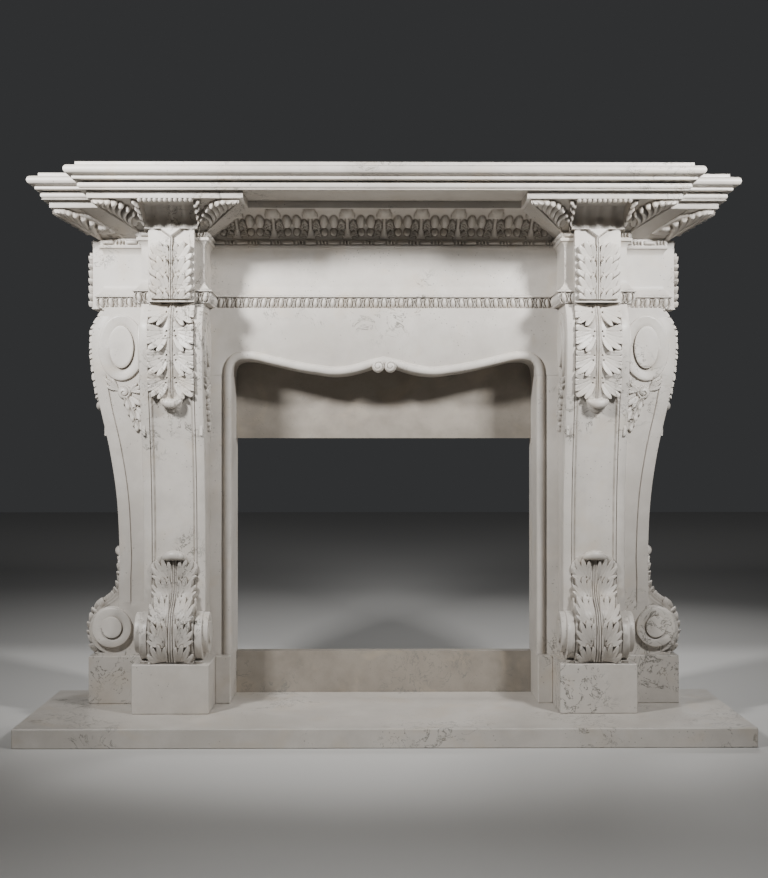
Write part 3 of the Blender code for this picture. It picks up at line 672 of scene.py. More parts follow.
@dataclass
class Console:
    """A scrolled console with an acanthus leaf at its head and another over its foot scroll.

    It is made in its own axes: width on X, standing out along -Y, foot at Z = 0.
    """

    width: float
    height: float
    border_width: float = 0.024
    sink: float = 0.007
    groove_in: float = 0.037
    waist: Point2 = (0.263, 0.091)
    border_foot: float = 0.010
    upper: Leaf = Leaf(0.318, 0.068, (-0.056, 0.014, 0.084, 0.154, 0.220),
                       Lobe((0.002, 0.0), (12.0, 98.0), (0.060, 0.077, 0.088, 0.081, 0.068), 5,
                            (0.003, 0.0240), notch=0.24, swirl=14.0, groove=0.0085),
                       (Lobe((0.002, 0.262), (-4.0, 64.0), (0.030, 0.040, 0.040), 3, (0.004, 0.016)),
                        Stroke((0.0, 0.0), (0.0, 0.15), (0.0, 0.300),
                               (0.034, 0.034, 0.030), (0.008, 0.009, 0.009))),
                       (0.0060, 0.0150), 1, 0.0028)
    lower: Leaf = Leaf(0.318, 0.070, (-0.020, 0.042, 0.104, 0.166, 0.222),
                       Lobe((0.008, 0.0), (10.0, 94.0), (0.056, 0.072, 0.082, 0.070, 0.056), 5,
                            (0.000, 0.0240), notch=0.27, swirl=-16.0, groove=0.0100),
                       (Lobe((0.010, 0.252), (4.0, 104.0), (0.050, 0.068, 0.054), 2, (0.001, 0.0200),
                             notch=0.12, groove=0.003),),
                       (0.0125, 0.0125), 2, 0.0022)
    upper_lip: Lip = Lip(0.770, -1.0, 0.034, 0.0150, 0.0140, 0.021)
    lower_lip: Lip = Lip(0.316, 1.0, 0.037, 0.0150, 0.0150, 0.022)
    roll_centre: Point2 = (0.110, 0.0765)
    roll_radius: float = 0.0735
    foot_volute: Volute = Volute((0.111, 0.086), (0.061, 0.061), (0.029, 0.030), 0.0165, 0.0030)
    head_volute: Volute = Volute((0.083, 0.946), (0.071, 0.101), (0.035, 0.060), 0.0085, 0.004)
    volute_root: float = 0.01
    shells: list[tuple[np.ndarray, np.ndarray | None]] = field(default_factory=list)

    def profile(self, rise: np.ndarray) -> np.ndarray:
        """How far the face stands out at a height: a smooth S through the scroll, shaft and head."""
        shares = (0.0, 0.021, 0.047, 0.081, 0.112, 0.136, 0.160, 0.182, 0.210, 0.245, 0.340,
                  0.470, 0.595, 0.730, 0.850, 0.905, 0.940, 0.968, 1.0)
        stand = (0.157, 0.172, 0.180, 0.182, 0.175, 0.160, 0.122, 0.103, 0.093, 0.090, 0.091,
                 0.100, 0.121, 0.153, 0.173, 0.175, 0.170, 0.154, 0.130)
        return smooth_through(np.asarray(rise) / self.height, shares, stand)

    def add(self, rings: np.ndarray, hollow: np.ndarray | None = None) -> None:
        """Keeps one shell in the console's own axes."""
        self.shells.append((rings, hollow))

    def border(self, rise: np.ndarray) -> np.ndarray:
        """How far the borders stand out: beside the lower leaf they run straight down to the foot scroll."""
        face = self.profile(rise)
        straight = (rise > self.border_foot) & (rise < self.waist[0])
        return np.where(straight, np.minimum(face, self.waist[1]), face)

    def body(self) -> None:
        """The block: rings in plan at each height, with the sunk panel in front and a groove in the sides."""
        half, panel = self.width / 2, self.width / 2 - self.border_width
        rise = np.linspace(0.0, self.height, 200)
        face, border = self.profile(rise), self.border(rise)
        front = np.array([half - 0.0015, panel, panel - 0.0006, panel - 0.0022, panel - 0.003, panel - 0.006,
                          panel - 0.009, panel - 0.012, panel - 0.014, 0.02])
        sunk = np.array([0.0, 0.0, 0.0035, 0.0035, 0.0008, 0.0014, 0.0030, 0.0055, self.sink, self.sink])
        on_border = np.arange(len(front)) < 2
        front = np.concatenate([-front, front[::-1]])
        sunk = np.concatenate([sunk, sunk[::-1]])
        on_border = np.concatenate([on_border, on_border[::-1]])
        stand = np.where(on_border, border[:, None], face[:, None]) - sunk
        groove = border - self.groove_in
        fade = np.clip((rise - 0.150) / 0.012, 0.0, 1.0) * np.clip((0.868 - rise) / 0.012, 0.0, 1.0)
        inward = np.stack([np.zeros_like(rise), groove - 0.0022, groove, groove + 0.0022, border - 0.0015], axis=1)
        cut = np.zeros_like(inward)
        cut[:, 2] = 0.0034 * fade
        left = np.stack([-half + cut, -inward], axis=-1)
        count = len(rise)
        middle = np.stack([np.broadcast_to(front, (count, len(front))), -stand], axis=-1)
        right = left[:, ::-1] * np.array([-1.0, 1.0])
        plan = np.concatenate([left, middle, right], axis=1)
        tall = np.broadcast_to(rise[:, None, None], plan.shape[:2] + (1,))
        # The side groove and the panel's sunk channel are marked for painted shade and patina in the finish.
        channel = np.broadcast_to(((sunk > 0.002) & (sunk < self.sink)) * 0.7, middle.shape[:2])
        shade_and_patina = np.concatenate([cut / 0.004, channel, cut[:, ::-1] / 0.004], axis=1)
        self.add(np.concatenate([plan, tall], axis=-1), shade_and_patina)

    def leaf(self, leaf: Leaf, root: float, way: float, lean: float) -> None:
        """A leaf on the panel: heights above the face, tilted towards the tip so that its tiers overhang.

        Args:
            leaf: the leaf's own sizes.
            root: the height at which it springs.
            way: 1 where it grows upwards, -1 where it hangs.
            lean: how far a point moves towards the tip for each unit of its height.
        """
        across = np.linspace(-leaf.half_width, leaf.half_width, 113)
        along = np.linspace(0.0, leaf.length + 0.010, int(leaf.length / 0.0016))
        u, v = np.meshgrid(across, along)
        height = carve(leaf.shapes(), leaf.holes(), np.abs(u), v)
        rise = np.clip(root + way * v, 0.002, self.height - 0.001)
        stand = self.profile(rise) - self.sink
        slope = (self.profile(rise + 0.001) - self.profile(rise - 0.001)) / 0.002
        size = np.sqrt(1.0 + slope**2)
        tilt = way * lean * np.clip(height, 0.0, None)
        out = stand + (height + slope * tilt) / size
        tall = np.clip(rise + (tilt - slope * height) / size, 0.001, self.height - 0.001)
        front = np.stack([u, -out, tall], axis=-1)
        back = np.stack([front[:, -1], front[:, 0]], axis=1)
        back[..., 1] = -(stand[:, :1] - 0.010)
        self.add(*relief_rings(front, back, height))

    def curl(self, lip: Lip) -> None:
        """The curled tip of a leaf: a smooth lens across the panel, bent back towards the leaf at both ends."""
        turn = np.linspace(0.03, math.pi - 0.03, 33)[:, None]
        around = np.linspace(0.0, 2.0 * math.pi, 25)[None, :-1]
        base = float(self.profile(np.array([lip.rise]))[0]) - self.sink + lip.stand
        x = lip.wide * np.cos(turn)
        swell = np.sin(turn) ** 0.8
        bend = (x / lip.wide) ** 2
        up = lip.rise - lip.way * lip.tall * (0.55 * bend) + lip.tall * swell * np.sin(around)
        out = base - 0.5 * lip.deep * bend + lip.deep * swell * np.cos(around)
        self.add(np.stack([np.broadcast_to(x, out.shape), -out, up], axis=-1))

    def roll(self, side: float) -> None:
        """The foot scroll's roll on one side of the leaf, with eased edges and a slightly hollow barrel.

        Args:
            side: -1 left of the leaf, 1 right of it.
        """
        turn = np.linspace(0.0, 2.0 * math.pi, 73)[None, :-1]
        inner, outer = self.width / 2 - self.border_width + 0.001, self.width / 2 - 0.0005
        length = outer - inner
        at = inner + length * np.array([0.0, 0.06, 0.30, 0.55, 0.80, 0.92, 0.975, 1.0])[:, None]
        size = self.roll_radius - np.array([0.0016, 0.0, 0.0010, 0.0014, 0.0008, 0.0, 0.0008, 0.0030])[:, None]
        rings = np.stack([np.broadcast_to(side * at, (8, 72)), -(self.roll_centre[0] + size * np.cos(turn)),
                          self.roll_centre[1] + size * np.sin(turn)], axis=-1)
        self.add(rings)

    def disc(self, side: float, volute: Volute) -> None:
        """A volute on one side face: a disc with a spiral step round its eye.

        The step follows r = eye * (1.16 - 0.16 * turn). It rises over the first half of the turn and fades
        over the last seventh.

        Args:
            side: -1 on the left face, 1 on the right.
            volute: its place and sizes.
        """
        centre, radii, eye = volute.centre, volute.radii, volute.eye
        root, stand = self.width / 2 - self.volute_root, self.width / 2 + volute.proud
        turn = np.linspace(0.0, 1.0, 97)[:-1]
        angle = 2.0 * math.pi * turn
        grown = np.clip(turn / 0.5, 0.0, 1.0) ** 1.2 * np.clip((1.0 - turn) / 0.14, 0.0, 1.0)
        spiral = 1.16 - 0.16 * turn
        outer = (1.0, 1.0, 0.992, 0.975, 0.95)
        lifts = (root - stand, -0.003, -0.0012, -0.0004, 0.0)
        rows = []
        for share, lift in zip(outer, lifts):
            rows.append((share * radii[0], share * radii[1], np.full_like(turn, lift), 0.0))
        # The rows round the eye mark its groove for painted shade and patina, growing with the step.
        for past, drop, shade_and_patina in ((1.45, 0.10, 0.0), (1.20, 0.5, 0.1), (1.02, 1.0, 0.9)):
            rows.append((eye[0] * spiral * past, eye[1] * spiral * past, -0.0060 * grown * drop, shade_and_patina))
        for past, lift, even in ((1.0, 0.85, 0.0), (0.975, 1.0, 0.0), (0.85, 1.0, 0.35), (0.6, 1.0, 1.0),
                                 (0.1, 1.0, 1.0)):
            raised = volute.step * lift * (0.55 * even + (0.25 + 0.75 * grown) * (1.0 - even))
            rows.append((eye[0] * spiral * past, eye[1] * spiral * past, raised, 0.0))
        rings, hollows = [], []
        for wide, tall, lift, shade_and_patina in rows:
            out = centre[0] + np.cos(angle) * wide
            up = centre[1] + np.sin(angle) * tall
            rings.append(np.stack([side * (stand + lift), -np.maximum(out, 0.004), up], axis=-1))
            hollows.append(np.full_like(turn, shade_and_patina) * grown)
        self.add(np.stack(rings), np.stack(hollows))

    def spray(self, side: float) -> None:
        """The leaves that hang under the head volute, on one side face.

        Args:
            side: -1 on the left face, 1 on the right.
        """
        thin = (0.003, 0.0052, 0.0034)
        shapes = [
            Lobe((0.092, 0.815), (12.0, 82.0), (0.034, 0.056, 0.030), 3, (0.004, 0.010), notch=0.35),
            Rosette((0.074, 0.811), 0.0215, 0.0135),
            Lobe((0.060, 0.812), (-98.0, -30.0), (0.040, 0.044, 0.032), 3, (0.004, 0.0115), notch=0.30),
            Lobe((0.060, 0.806), (128.0, 232.0), (0.020, 0.046, 0.052, 0.050, 0.048), 4, (0.004, 0.0125),
                 swirl=10.0),
            Lobe((0.048, 0.772), (130.0, 238.0), (0.022, 0.048, 0.054, 0.046), 4, (0.004, 0.0125), swirl=10.0),
            Lobe((0.034, 0.732), (126.0, 240.0), (0.018, 0.040, 0.046, 0.034), 4, (0.004, 0.0115), swirl=10.0),
            Stroke((0.066, 0.796), (0.048, 0.765), (0.026, 0.700), thin, (0.011, 0.0125, 0.010)),
        ]
        holes = [Hole((0.052, 0.800), 0.003), Hole((0.044, 0.764), 0.003), Hole((0.034, 0.728), 0.003)]
        stand = np.linspace(0.014, 0.136, 82)
        rise = np.linspace(0.676, 0.885, 132)
        u, v = np.meshgrid(stand, rise)
        height = carve(shapes, holes, u, v)
        half = self.width / 2
        drop = 0.35 * np.clip(height, 0.0, None)
        front = np.stack([side * (half + height), -u, v - drop], axis=-1)
        back = np.stack([front[:, -1], front[:, 0]], axis=1)
        back[..., 0] -= side * 0.008
        self.add(*relief_rings(front, back, height))

    def build(self) -> None:
        """Works out every shell of the console."""
        self.body()
        self.leaf(self.upper, self.height + 0.002, -1.0, 0.42)
        self.leaf(self.lower, 0.006, 1.0, 0.34)
        self.curl(self.upper_lip)
        self.curl(self.lower_lip)
        for side in (-1.0, 1.0):
            self.roll(side)
            self.disc(side, self.foot_volute)
            self.disc(side, self.head_volute)
            self.spray(side)

    def place(self, name: str, material: bpy.types.Material, origin: Point2, foot: float, turn: float) -> None:
        """Makes one of the consoles where its frame node stands.

        Args:
            name: the frame node's name.
            material: the stone.
            origin: where the middle of its back goes.
            foot: the height of its foot.
            turn: how far it is turned about the vertical.
        """
        cos, sin = math.cos(turn), math.sin(turn)
        made = Shells()
        for rings, hollow in self.shells:
            x, y, z = rings[..., 0], rings[..., 1], rings[..., 2]
            moved = np.stack([origin[0] + x * cos - y * sin, origin[1] + x * sin + y * cos, foot + z], axis=-1)
            made.loft(moved, hollow)
        made.piece(name + "_carved", material, Slot.CARVED, name)


def build_consoles(material: bpy.types.Material) -> None:
    """Places the four consoles on their frame nodes."""
    low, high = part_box("console_front_left")
    pier_low, pier_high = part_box("pier_left")
    pattern = Console(pier_high.x - pier_low.x, high.z - low.z)
    pattern.build()
    for side, name in ((-1.0, "left"), (1.0, "right")):
        low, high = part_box("console_front_" + name)
        pattern.place("console_front_" + name, material, ((low.x + high.x) / 2, high.y), low.z, 0.0)
        low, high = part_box("console_side_" + name)
        root = high.x if side < 0 else low.x
        pattern.place("console_side_" + name, material, (root, (low.y + high.y) / 2), low.z, side * math.pi / 2)


# Frieze


@dataclass
class Frieze:
    """The frieze course: egg band, plain frieze with flared ends, bead band, and four leaf tablets."""

    plan: Plan
    foot: float
    head: float
    egg_band: float = 0.037
    bead_band: float = 0.028
    egg_pitch: float = 0.0271
    bead_pitch: float = 0.073
    tablet_half: float = 0.068
    tablet_proud: float = 0.040
    leaf: Leaf = Leaf(0.200, 0.067, (-0.028, 0.020, 0.068, 0.114),
                      Lobe((0.004, 0.0), (10.0, 94.0), (0.046, 0.064, 0.075, 0.069, 0.060), 4,
                           (0.000, 0.0185), notch=0.26, swirl=-14.0, groove=0.0080),
                      (), (0.0055, 0.0120), 1, 0.0024)

    def core(self, shells: Shells) -> None:
        """The moulded block: one outline for each step and curve of its profile."""
        low = self.foot + self.egg_band
        high = self.head - self.bead_band
        flare = np.linspace(0.0, 1.0, 9)
        rows = [(0.012, self.foot), (0.012, low - 0.004), (0.0235, low - 0.004), (0.0245, low - 0.002),
                (0.0235, low)]
        rows += [(0.0185 * (1.0 - t) ** 2, low + 0.001 + 0.034 * t) for t in flare]
        rows += [(0.0100 * t**2, high - 0.022 + 0.0205 * t) for t in flare]
        rows += [(0.0125, high - 0.0015), (0.0135, high + 0.001), (0.0135, high + 0.007), (0.0090, high + 0.009),
                 (0.0090, self.head)]
        outs, heights = np.array(rows).T
        stack(shells, self.plan.corners(outs, outs), heights)

    def eggs(self, shells: Shells) -> None:
        """The egg band: an egg in a cup, half a repeat wide each, with darts between, on a round section."""
        bottom, top = self.foot, self.foot + self.egg_band - 0.004
        share = np.linspace(0.0, 1.0, 15)
        out = 0.0115 + 0.0085 * np.sin(0.5 * math.pi * (0.25 + 0.75 * share))
        section = np.stack([out, out, bottom + (top - bottom) * share], axis=1)
        back = np.array([[0.002, 0.002, top], [0.002, 0.002, bottom]])

        def relief(repeat: np.ndarray, level: np.ndarray) -> np.ndarray:
            across = np.abs(repeat - np.floor(repeat) - 0.5) * 2.0
            up = (level - 0.47) / 0.47
            egg = np.sqrt(np.clip(1.0 - (across / 0.55) ** 2 - up**2, 0.0, 1.0)) * 0.0105
            ring = np.hypot(across / 0.88, (level - 0.38) / 0.64)
            cup = 0.0075 * np.exp(-((ring - 0.96) / 0.10) ** 2) * (level < 0.95)
            dart = 0.0050 * np.clip(1.0 - np.abs(across - 1.0) / 0.12, 0.0, 1.0) * (level < 0.50)
            return np.maximum(np.maximum(egg, cup), dart) - 0.005

        carried(shells, self.plan, section, back, range(11), self.egg_pitch, 16, relief)

    def beads(self, shells: Shells) -> None:
        """The bead band: one long bead and three short ones in each repeat, on a small round."""
        top = self.head - 0.004
        bottom = self.head - self.bead_band + 0.009
        share = np.linspace(0.0, 1.0, 9)
        out = np.full(9, 0.0055)
        section = np.stack([out, out, bottom + (top - bottom) * share], axis=1)
        back = np.array([[0.002, 0.002, top], [0.002, 0.002, bottom]])

        def relief(repeat: np.ndarray, level: np.ndarray) -> np.ndarray:
            place = repeat - np.floor(repeat)
            round_up = np.sqrt(np.clip(1.0 - (2.0 * level - 1.0) ** 2, 0.0, 1.0))
            long_bead = np.clip(1.0 - (np.abs(place - 0.30) / 0.27) ** 4, 0.0, 1.0)
            short = sum(np.clip(1.0 - (np.abs(place - middle) / 0.060) ** 2, 0.0, 1.0)
                        for middle in (0.66, 0.80, 0.94))
            return 0.0125 * round_up * np.sqrt(np.maximum(long_bead, short))

        carried(shells, self.plan, section, back, range(11), self.bead_pitch, 34, relief)

    def tablet(self, shells: Shells, place: Callable[[np.ndarray], np.ndarray], setback: float) -> None:
        """A leaf tablet: a block with an upright leaf on its face.

        Args:
            shells: where it goes.
            place: from the tablet's own axes (width, stand-out, height above the frieze's foot) to the world.
            setback: depth of the block behind its face.
        """
        half, tall = self.tablet_half, self.head - self.foot
        corners = np.array([[-half, 0.0], [half, 0.0], [half, -setback], [-half, -setback]])
        rows = [(0.0, 0.0), (0.0, 0.002), (0.0, 0.004), (-0.003, 0.0045), (-0.003, tall)]
        rings = [np.column_stack([corners[:, 0], corners[:, 1] + np.array([inset, inset, 0, 0]),
                                  np.full(4, up)]) for inset, up in rows]
        shells.loft(place(np.stack(rings)))
        across = np.linspace(-half + 0.001, half - 0.001, 91)
        up = np.linspace(0.0055, tall - 0.002, 128)
        u, v = np.meshgrid(across, up)
        height = carve(self.leaf.shapes(), self.leaf.holes(), np.abs(u), v)
        dip = tall - 0.028 + 0.019 * np.clip(np.abs(u) / 0.026, 0.0, 1.0)
        dip = dip + 0.030 * np.clip((np.abs(u) - 0.026) / 0.030, 0.0, 1.0)
        fold = 0.0135 * np.clip((v - dip) / 0.0022, 0.0, 1.0)
        height = np.where(v > dip, np.maximum(height, fold), height)
        height = np.maximum(height, -0.002)
        height = height * np.clip((half - np.abs(u)) / 0.006, 0.0, 1.0) ** 0.5
        lean = 0.30 * np.clip(height, 0.0, None)
        front = np.stack([u, height - 0.003, np.minimum(v + lean, tall)], axis=-1)
        back = np.stack([front[:, -1], front[:, 0]], axis=1)
        back[..., 1] = -0.012
        rings, hollow = relief_rings(front, back, height)
        shells.loft(place(rings), hollow)

    def build(self, material: bpy.types.Material) -> None:
        """Makes the course as one piece."""
        shells = Shells()
        self.core(shells)
        self.eggs(shells)
        self.beads(shells)
        plan = self.plan
        side_y = (plan.main_y + plan.wall_y) / 2
        for side in (-1.0, 1.0):
            def front(points: np.ndarray, side: float = side) -> np.ndarray:
                return np.stack([side * plan.leg_x + points[..., 0],
                                 plan.neck_y - self.tablet_proud - points[..., 1],
                                 self.foot + points[..., 2]], axis=-1)

            def flank(points: np.ndarray, side: float = side) -> np.ndarray:
                return np.stack([side * (plan.side_x + self.tablet_proud + points[..., 1]),
                                 side_y + points[..., 0], self.foot + points[..., 2]], axis=-1)

            self.tablet(shells, front, self.tablet_proud + 0.02)
            self.tablet(shells, flank, self.tablet_proud + 0.02)
        shells.piece("frieze_carved", material, Slot.CARVED, "frieze_course")


# Cornice


class Face(Enum):
    """What is carved on one face of a capital."""

    LEAF = "half leaf"
    LINES = "long lines"


@dataclass
class Cornice:
    """The cornice course: a carved cove in the middle, a capital over each leg, and the fascia."""

    plan: Plan
    foot: float
    head: float
    fascia: float = 0.021
    flare_x: float = FLARE_X
    flare_y: float = FLARE_Y
    spring: float = 0.012
    seat: float = 0.006
    lip: float = 0.012
    wall_gap: float = 0.0004  # keeps the capitals' backs off the core's back, so that no faces coincide
    motif: float = 0.118
    niche_half: float = 0.079
    flutes: int = 4

    def cove(self, shells: Shells) -> None:
        """The middle cove: a quarter round that opens upwards, with stems, caps and pods in repeats."""
        top = self.head - self.fascia
        share = np.linspace(0.0, 1.0, 52)
        turn = 1.0 - np.sqrt(np.clip(1.0 - share**2, 0.0, 1.0))
        out_y = self.spring + (self.flare_y - self.lip - self.spring) * turn
        out_x = np.full_like(out_y, -0.03)
        section = np.stack([out_x, out_y, self.foot + (top - self.foot) * share], axis=1)
        back = np.array([[-0.03, -0.03, top], [-0.03, -0.03, self.foot]])
        pitch, tall = self.motif, top - self.foot

        def relief(repeat: np.ndarray, level: np.ndarray) -> np.ndarray:
            u, v = np.broadcast_arrays(np.abs(repeat - np.floor(repeat) - 0.5) * pitch, level * tall)
            edge = pitch / 2
            strokes = [
                Stroke((edge, 0.062), (edge, 0.035), (edge, 0.0), (0.0042, 0.0055, 0.0150),
                       (0.011, 0.010, 0.007)),
                Stroke((edge - 0.020, 0.0605), (edge - 0.009, 0.0660), (edge + 0.012, 0.0655),
                       (0.0035, 0.0066, 0.0072), (0.008, 0.014, 0.015)),
                Stroke((0.0160, 0.0485), (0.0160, 0.0475), (0.0160, 0.0465), (0.0120, 0.0130, 0.0120),
                       (0.0175, 0.0180, 0.0175)),
                Stroke((0.0145, 0.0205), (0.0145, 0.0195), (0.0145, 0.0185), (0.0098, 0.0106, 0.0098),
                       (0.0150, 0.0155, 0.0150)),
            ]
            for bend in range(3):
                wide, low = 0.0045 * bend, 0.0065 * bend
                strokes.append(Stroke((0.0300, 0.0340 - low), (0.0350 + wide, 0.0600 - low),
                                      (0.0500, 0.0420 - low), (0.0016, 0.0030, 0.0018), (0.006, 0.011, 0.006)))
                strokes.append(Stroke((0.0260, 0.0130 - 0.5 * low), (0.0340 + wide, 0.0320 - low),
                                      (0.0470, 0.0150 - 0.7 * low), (0.0016, 0.0028, 0.0018),
                                      (0.005, 0.009, 0.005)))
            return carve(strokes, (), u, v, 0.0) * np.clip((1.0 - v / tall) / 0.020, 0.0, 1.0)

        carried(shells, self.plan, section, back, range(5, 6), pitch, 60, relief)

    def splay(self, share: np.ndarray) -> np.ndarray:
        """How far the capital's faces have flared, 0 to 1: nearly straight, with a slight hollow."""
        return share * (0.86 + 0.14 * share)

    def block(self, shells: Shells, side: float) -> None:
        """The capital's block, with the fluted niche in its front.

        Args:
            shells: where it goes.
            side: -1 over the left leg, 1 over the right.
        """
        plan = self.plan
        top = self.head - self.fascia
        share = np.linspace(0.0, 1.0, 16)
        wide = self.spring - self.seat + (self.flare_x - self.lip - self.spring) * self.splay(share)
        deep = self.spring - self.seat + (self.flare_y - self.lip - self.spring) * self.splay(share)
        corners = plan.corners(wide, deep)[:, 6:]
        columns = 8 * self.flutes + 1
        across = np.linspace(-1.0, 1.0, columns)
        flute = 0.5 - 0.5 * np.cos(across * math.pi * self.flutes)
        drum = plan.neck_y - 0.038 + 0.030 * np.sin(math.pi * share)
        rings = []
        y_wall = plan.wall_y - self.wall_gap
        for level, x_wall in enumerate(corners[:, -1, 0]):
            inner, neck, outer = corners[level, 0, 0], corners[level, 1, 1], corners[level, 2, 0]
            row = [(inner, y_wall), (inner, neck), (plan.leg_x - self.niche_half, neck)]
            row += [(plan.leg_x + a * (self.niche_half - 0.001), drum[level] - 0.012 + 0.011 * f)
                    for a, f in zip(across, flute)]
            row += [(plan.leg_x + self.niche_half, neck), (outer, neck), (outer, corners[level, 3, 1]),
                    (x_wall, corners[level, 4, 1]), (x_wall, y_wall)]
            rings.append(row)
        flat = np.array(rings) * np.array([side, 1.0])
        stack(shells, flat, self.foot + (top - self.foot) * share)

    def face_leaf(self, shells: Shells, start: np.ndarray, end: np.ndarray, side: float, carved: Face,
                  post: bool = False) -> None:
        """A half leaf on one face of a capital, from a corner's edge to where it dies.

        Its fingers spring from the corner's edge and sweep outwards and up to the fascia.

        Args:
            shells: where it goes.
            start: the corner's edge, foot and head, 2 by 3.
            end: the far edge, foot and head, 2 by 3.
            side: -1 on the left leg, 1 on the right.
            carved: what stands on the face.
            post: whether the far edge has its own small curled leaf.
        """
        a = np.linspace(0.0, 1.0, 64)[None, :]
        b = np.linspace(0.0, 1.0, 46)[:, None]
        bent = self.splay(b)
        low = start[0] + (end[0] - start[0]) * a[..., None]
        high = start[1] + (end[1] - start[1]) * a[..., None]
        flat = low + (high - low) * bent[..., None]
        flat[..., 2] = low[..., 2] + (high[..., 2] - low[..., 2]) * b
        normal = np.cross(end[0] - start[0], high[0, 0] - low[0, 0])
        normal = normal / np.linalg.norm(normal)
        if normal[2] > 0:
            normal = -normal
        length = float(np.linalg.norm(end[1] - start[1]))
        tall = float(np.linalg.norm(start[1] - start[0]))
        u, v = np.broadcast_arrays(a * length, b * tall)
        shapes: list[Shape] = []
        if carved is Face.LEAF:
            bases = (0.84, 0.68, 0.53, 0.39, 0.27, 0.16, 0.07)
            tips = ((0.10, 0.985), (0.21, 0.985), (0.325, 0.970), (0.44, 0.925), (0.55, 0.850), (0.65, 0.740),
                    (0.74, 0.610))
            for base, (out, up) in zip(bases, tips):
                foot, tip = (0.012 * length, base * tall), (out * length, up * tall)
                bend = (0.36 * out * length, (0.35 * base + 0.65 * up) * tall)
                shapes.append(Stroke(foot, bend, tip, (0.0064, 0.0112, 0.0094), (0.006, 0.0140, 0.0175)))
            shapes.append(Stroke((0.0, tall * 0.99), (0.0, tall * 0.5), (0.0, 0.0), (0.0035, 0.0040, 0.0040),
                                 (0.014, 0.012, 0.008)))
            shapes.append(Lobe((0.0, 0.45 * tall), (-6.0, 150.0), (0.070, 0.096, 0.104, 0.092, 0.060), 1,
                               (0.004, 0.0075), notch=0.0, groove=0.0))
            shapes.append(Rosette((0.80 * length, 0.44 * tall), 0.0160, 0.0160))
            shapes.append(Lobe((0.78 * length, 0.30 * tall), (-40.0, 30.0), (0.030, 0.040, 0.034), 3,
                               (0.004, 0.0135)))
        else:
            for i in range(9):
                top = (0.06 + 0.115 * i) * length
                shapes.append(Stroke((top, tall), (0.86 * top, 0.5 * tall), (0.62 * top, 0.0),
                                     (0.0072, 0.0060, 0.0048), (0.0080, 0.0070, 0.0045)))
        if post:
            for i in range(5):
                up = tall * (0.10 + 0.19 * i)
                shapes.append(Stroke((length * 0.995, up - 0.010), (length * 0.96, up),
                                     (length * 0.885, up + 0.016), (0.0055, 0.0095, 0.0060),
                                     (0.010, 0.0150, 0.0120)))
        height = carve(shapes, (), u, v, 0.0)
        front = flat + height[..., None] * normal
        front[..., 2] = np.minimum(front[..., 2], self.head - self.fascia + 0.001)
        back = np.stack([flat[:, -1], flat[:, 0]], axis=1) - 0.006 * normal
        rings, hollow = relief_rings(front, back, height)
        shells.loft(rings * np.array([side, 1.0, 1.0]), hollow)

    def capital(self, shells: Shells, side: float) -> None:
        """The leaves on every face of one capital, worked out on the right and mirrored to the left."""
        plan = self.plan
        top = self.head - self.fascia
        base = plan.corners(self.spring - self.seat, self.spring - self.seat)
        flare = plan.corners(self.flare_x - self.lip, self.flare_y - self.lip)

        def edge(index: int) -> np.ndarray:
            return np.array([(*base[index], self.foot), (*flare[index], top)])

        post = [np.array([(plan.leg_x + s * self.niche_half, base[7, 1], self.foot),
                          (plan.leg_x + s * self.niche_half, flare[7, 1], top)]) for s in (-1.0, 1.0)]
        self.face_leaf(shells, edge(7), post[0], side, Face.LEAF, True)
        self.face_leaf(shells, edge(8), post[1], side, Face.LEAF, True)
        self.face_leaf(shells, edge(7), edge(6), side, Face.LINES)
        self.face_leaf(shells, edge(8), edge(9), side, Face.LINES)
        middle = (edge(9) + edge(10)) / 2
        self.face_leaf(shells, edge(10), middle, side, Face.LEAF)
        middle = (edge(10) + edge(11)) / 2
        self.face_leaf(shells, edge(10), middle, side, Face.LEAF)

    def scallops(self, shells: Shells, side: float) -> None:
        """The row of small scallops that hangs from the fascia over the niche."""
        plan = self.plan
        count = 11
        along = np.linspace(0.0, 1.0, count * 8 + 1)
        wave = np.abs(np.sin(along * math.pi * count)) ** 0.6
        around = np.linspace(0.0, 2.0 * math.pi, 13)[:-1]
        x = plan.leg_x + (2.0 * along - 1.0) * (self.niche_half + 0.002)
        y = plan.neck_y - self.flare_y + self.lip
        z = self.head - self.fascia + 0.001
        radius = 0.0035 + 0.0080 * wave
        rings = np.stack([np.broadcast_to(side * x[:, None], (len(x), len(around))),
                          y + radius[:, None] * np.cos(around), z + radius[:, None] * np.sin(around)], axis=-1)
        shells.loft(rings)

    def build(self, material: bpy.types.Material) -> None:
        """Makes the course as one piece."""
        shells = Shells()
        heights = np.array([self.head - self.fascia, self.head - self.fascia + 0.001, self.head])
        inset = np.array([0.001, 0.0, 0.0])
        stack(shells, self.plan.corners(self.flare_x - inset, self.flare_y - inset), heights)
        heights = np.array([self.foot, self.head - self.fascia])
        stack(shells, self.plan.corners(np.zeros(2), np.zeros(2)), heights)
        self.cove(shells)
        for side in (-1.0, 1.0):
            self.block(shells, side)
            self.capital(shells, side)
            self.scallops(shells, side)
        shells.piece("cornice_carved", material, Slot.CARVED, "cornice_course")


# Shelf, lintel and jambs


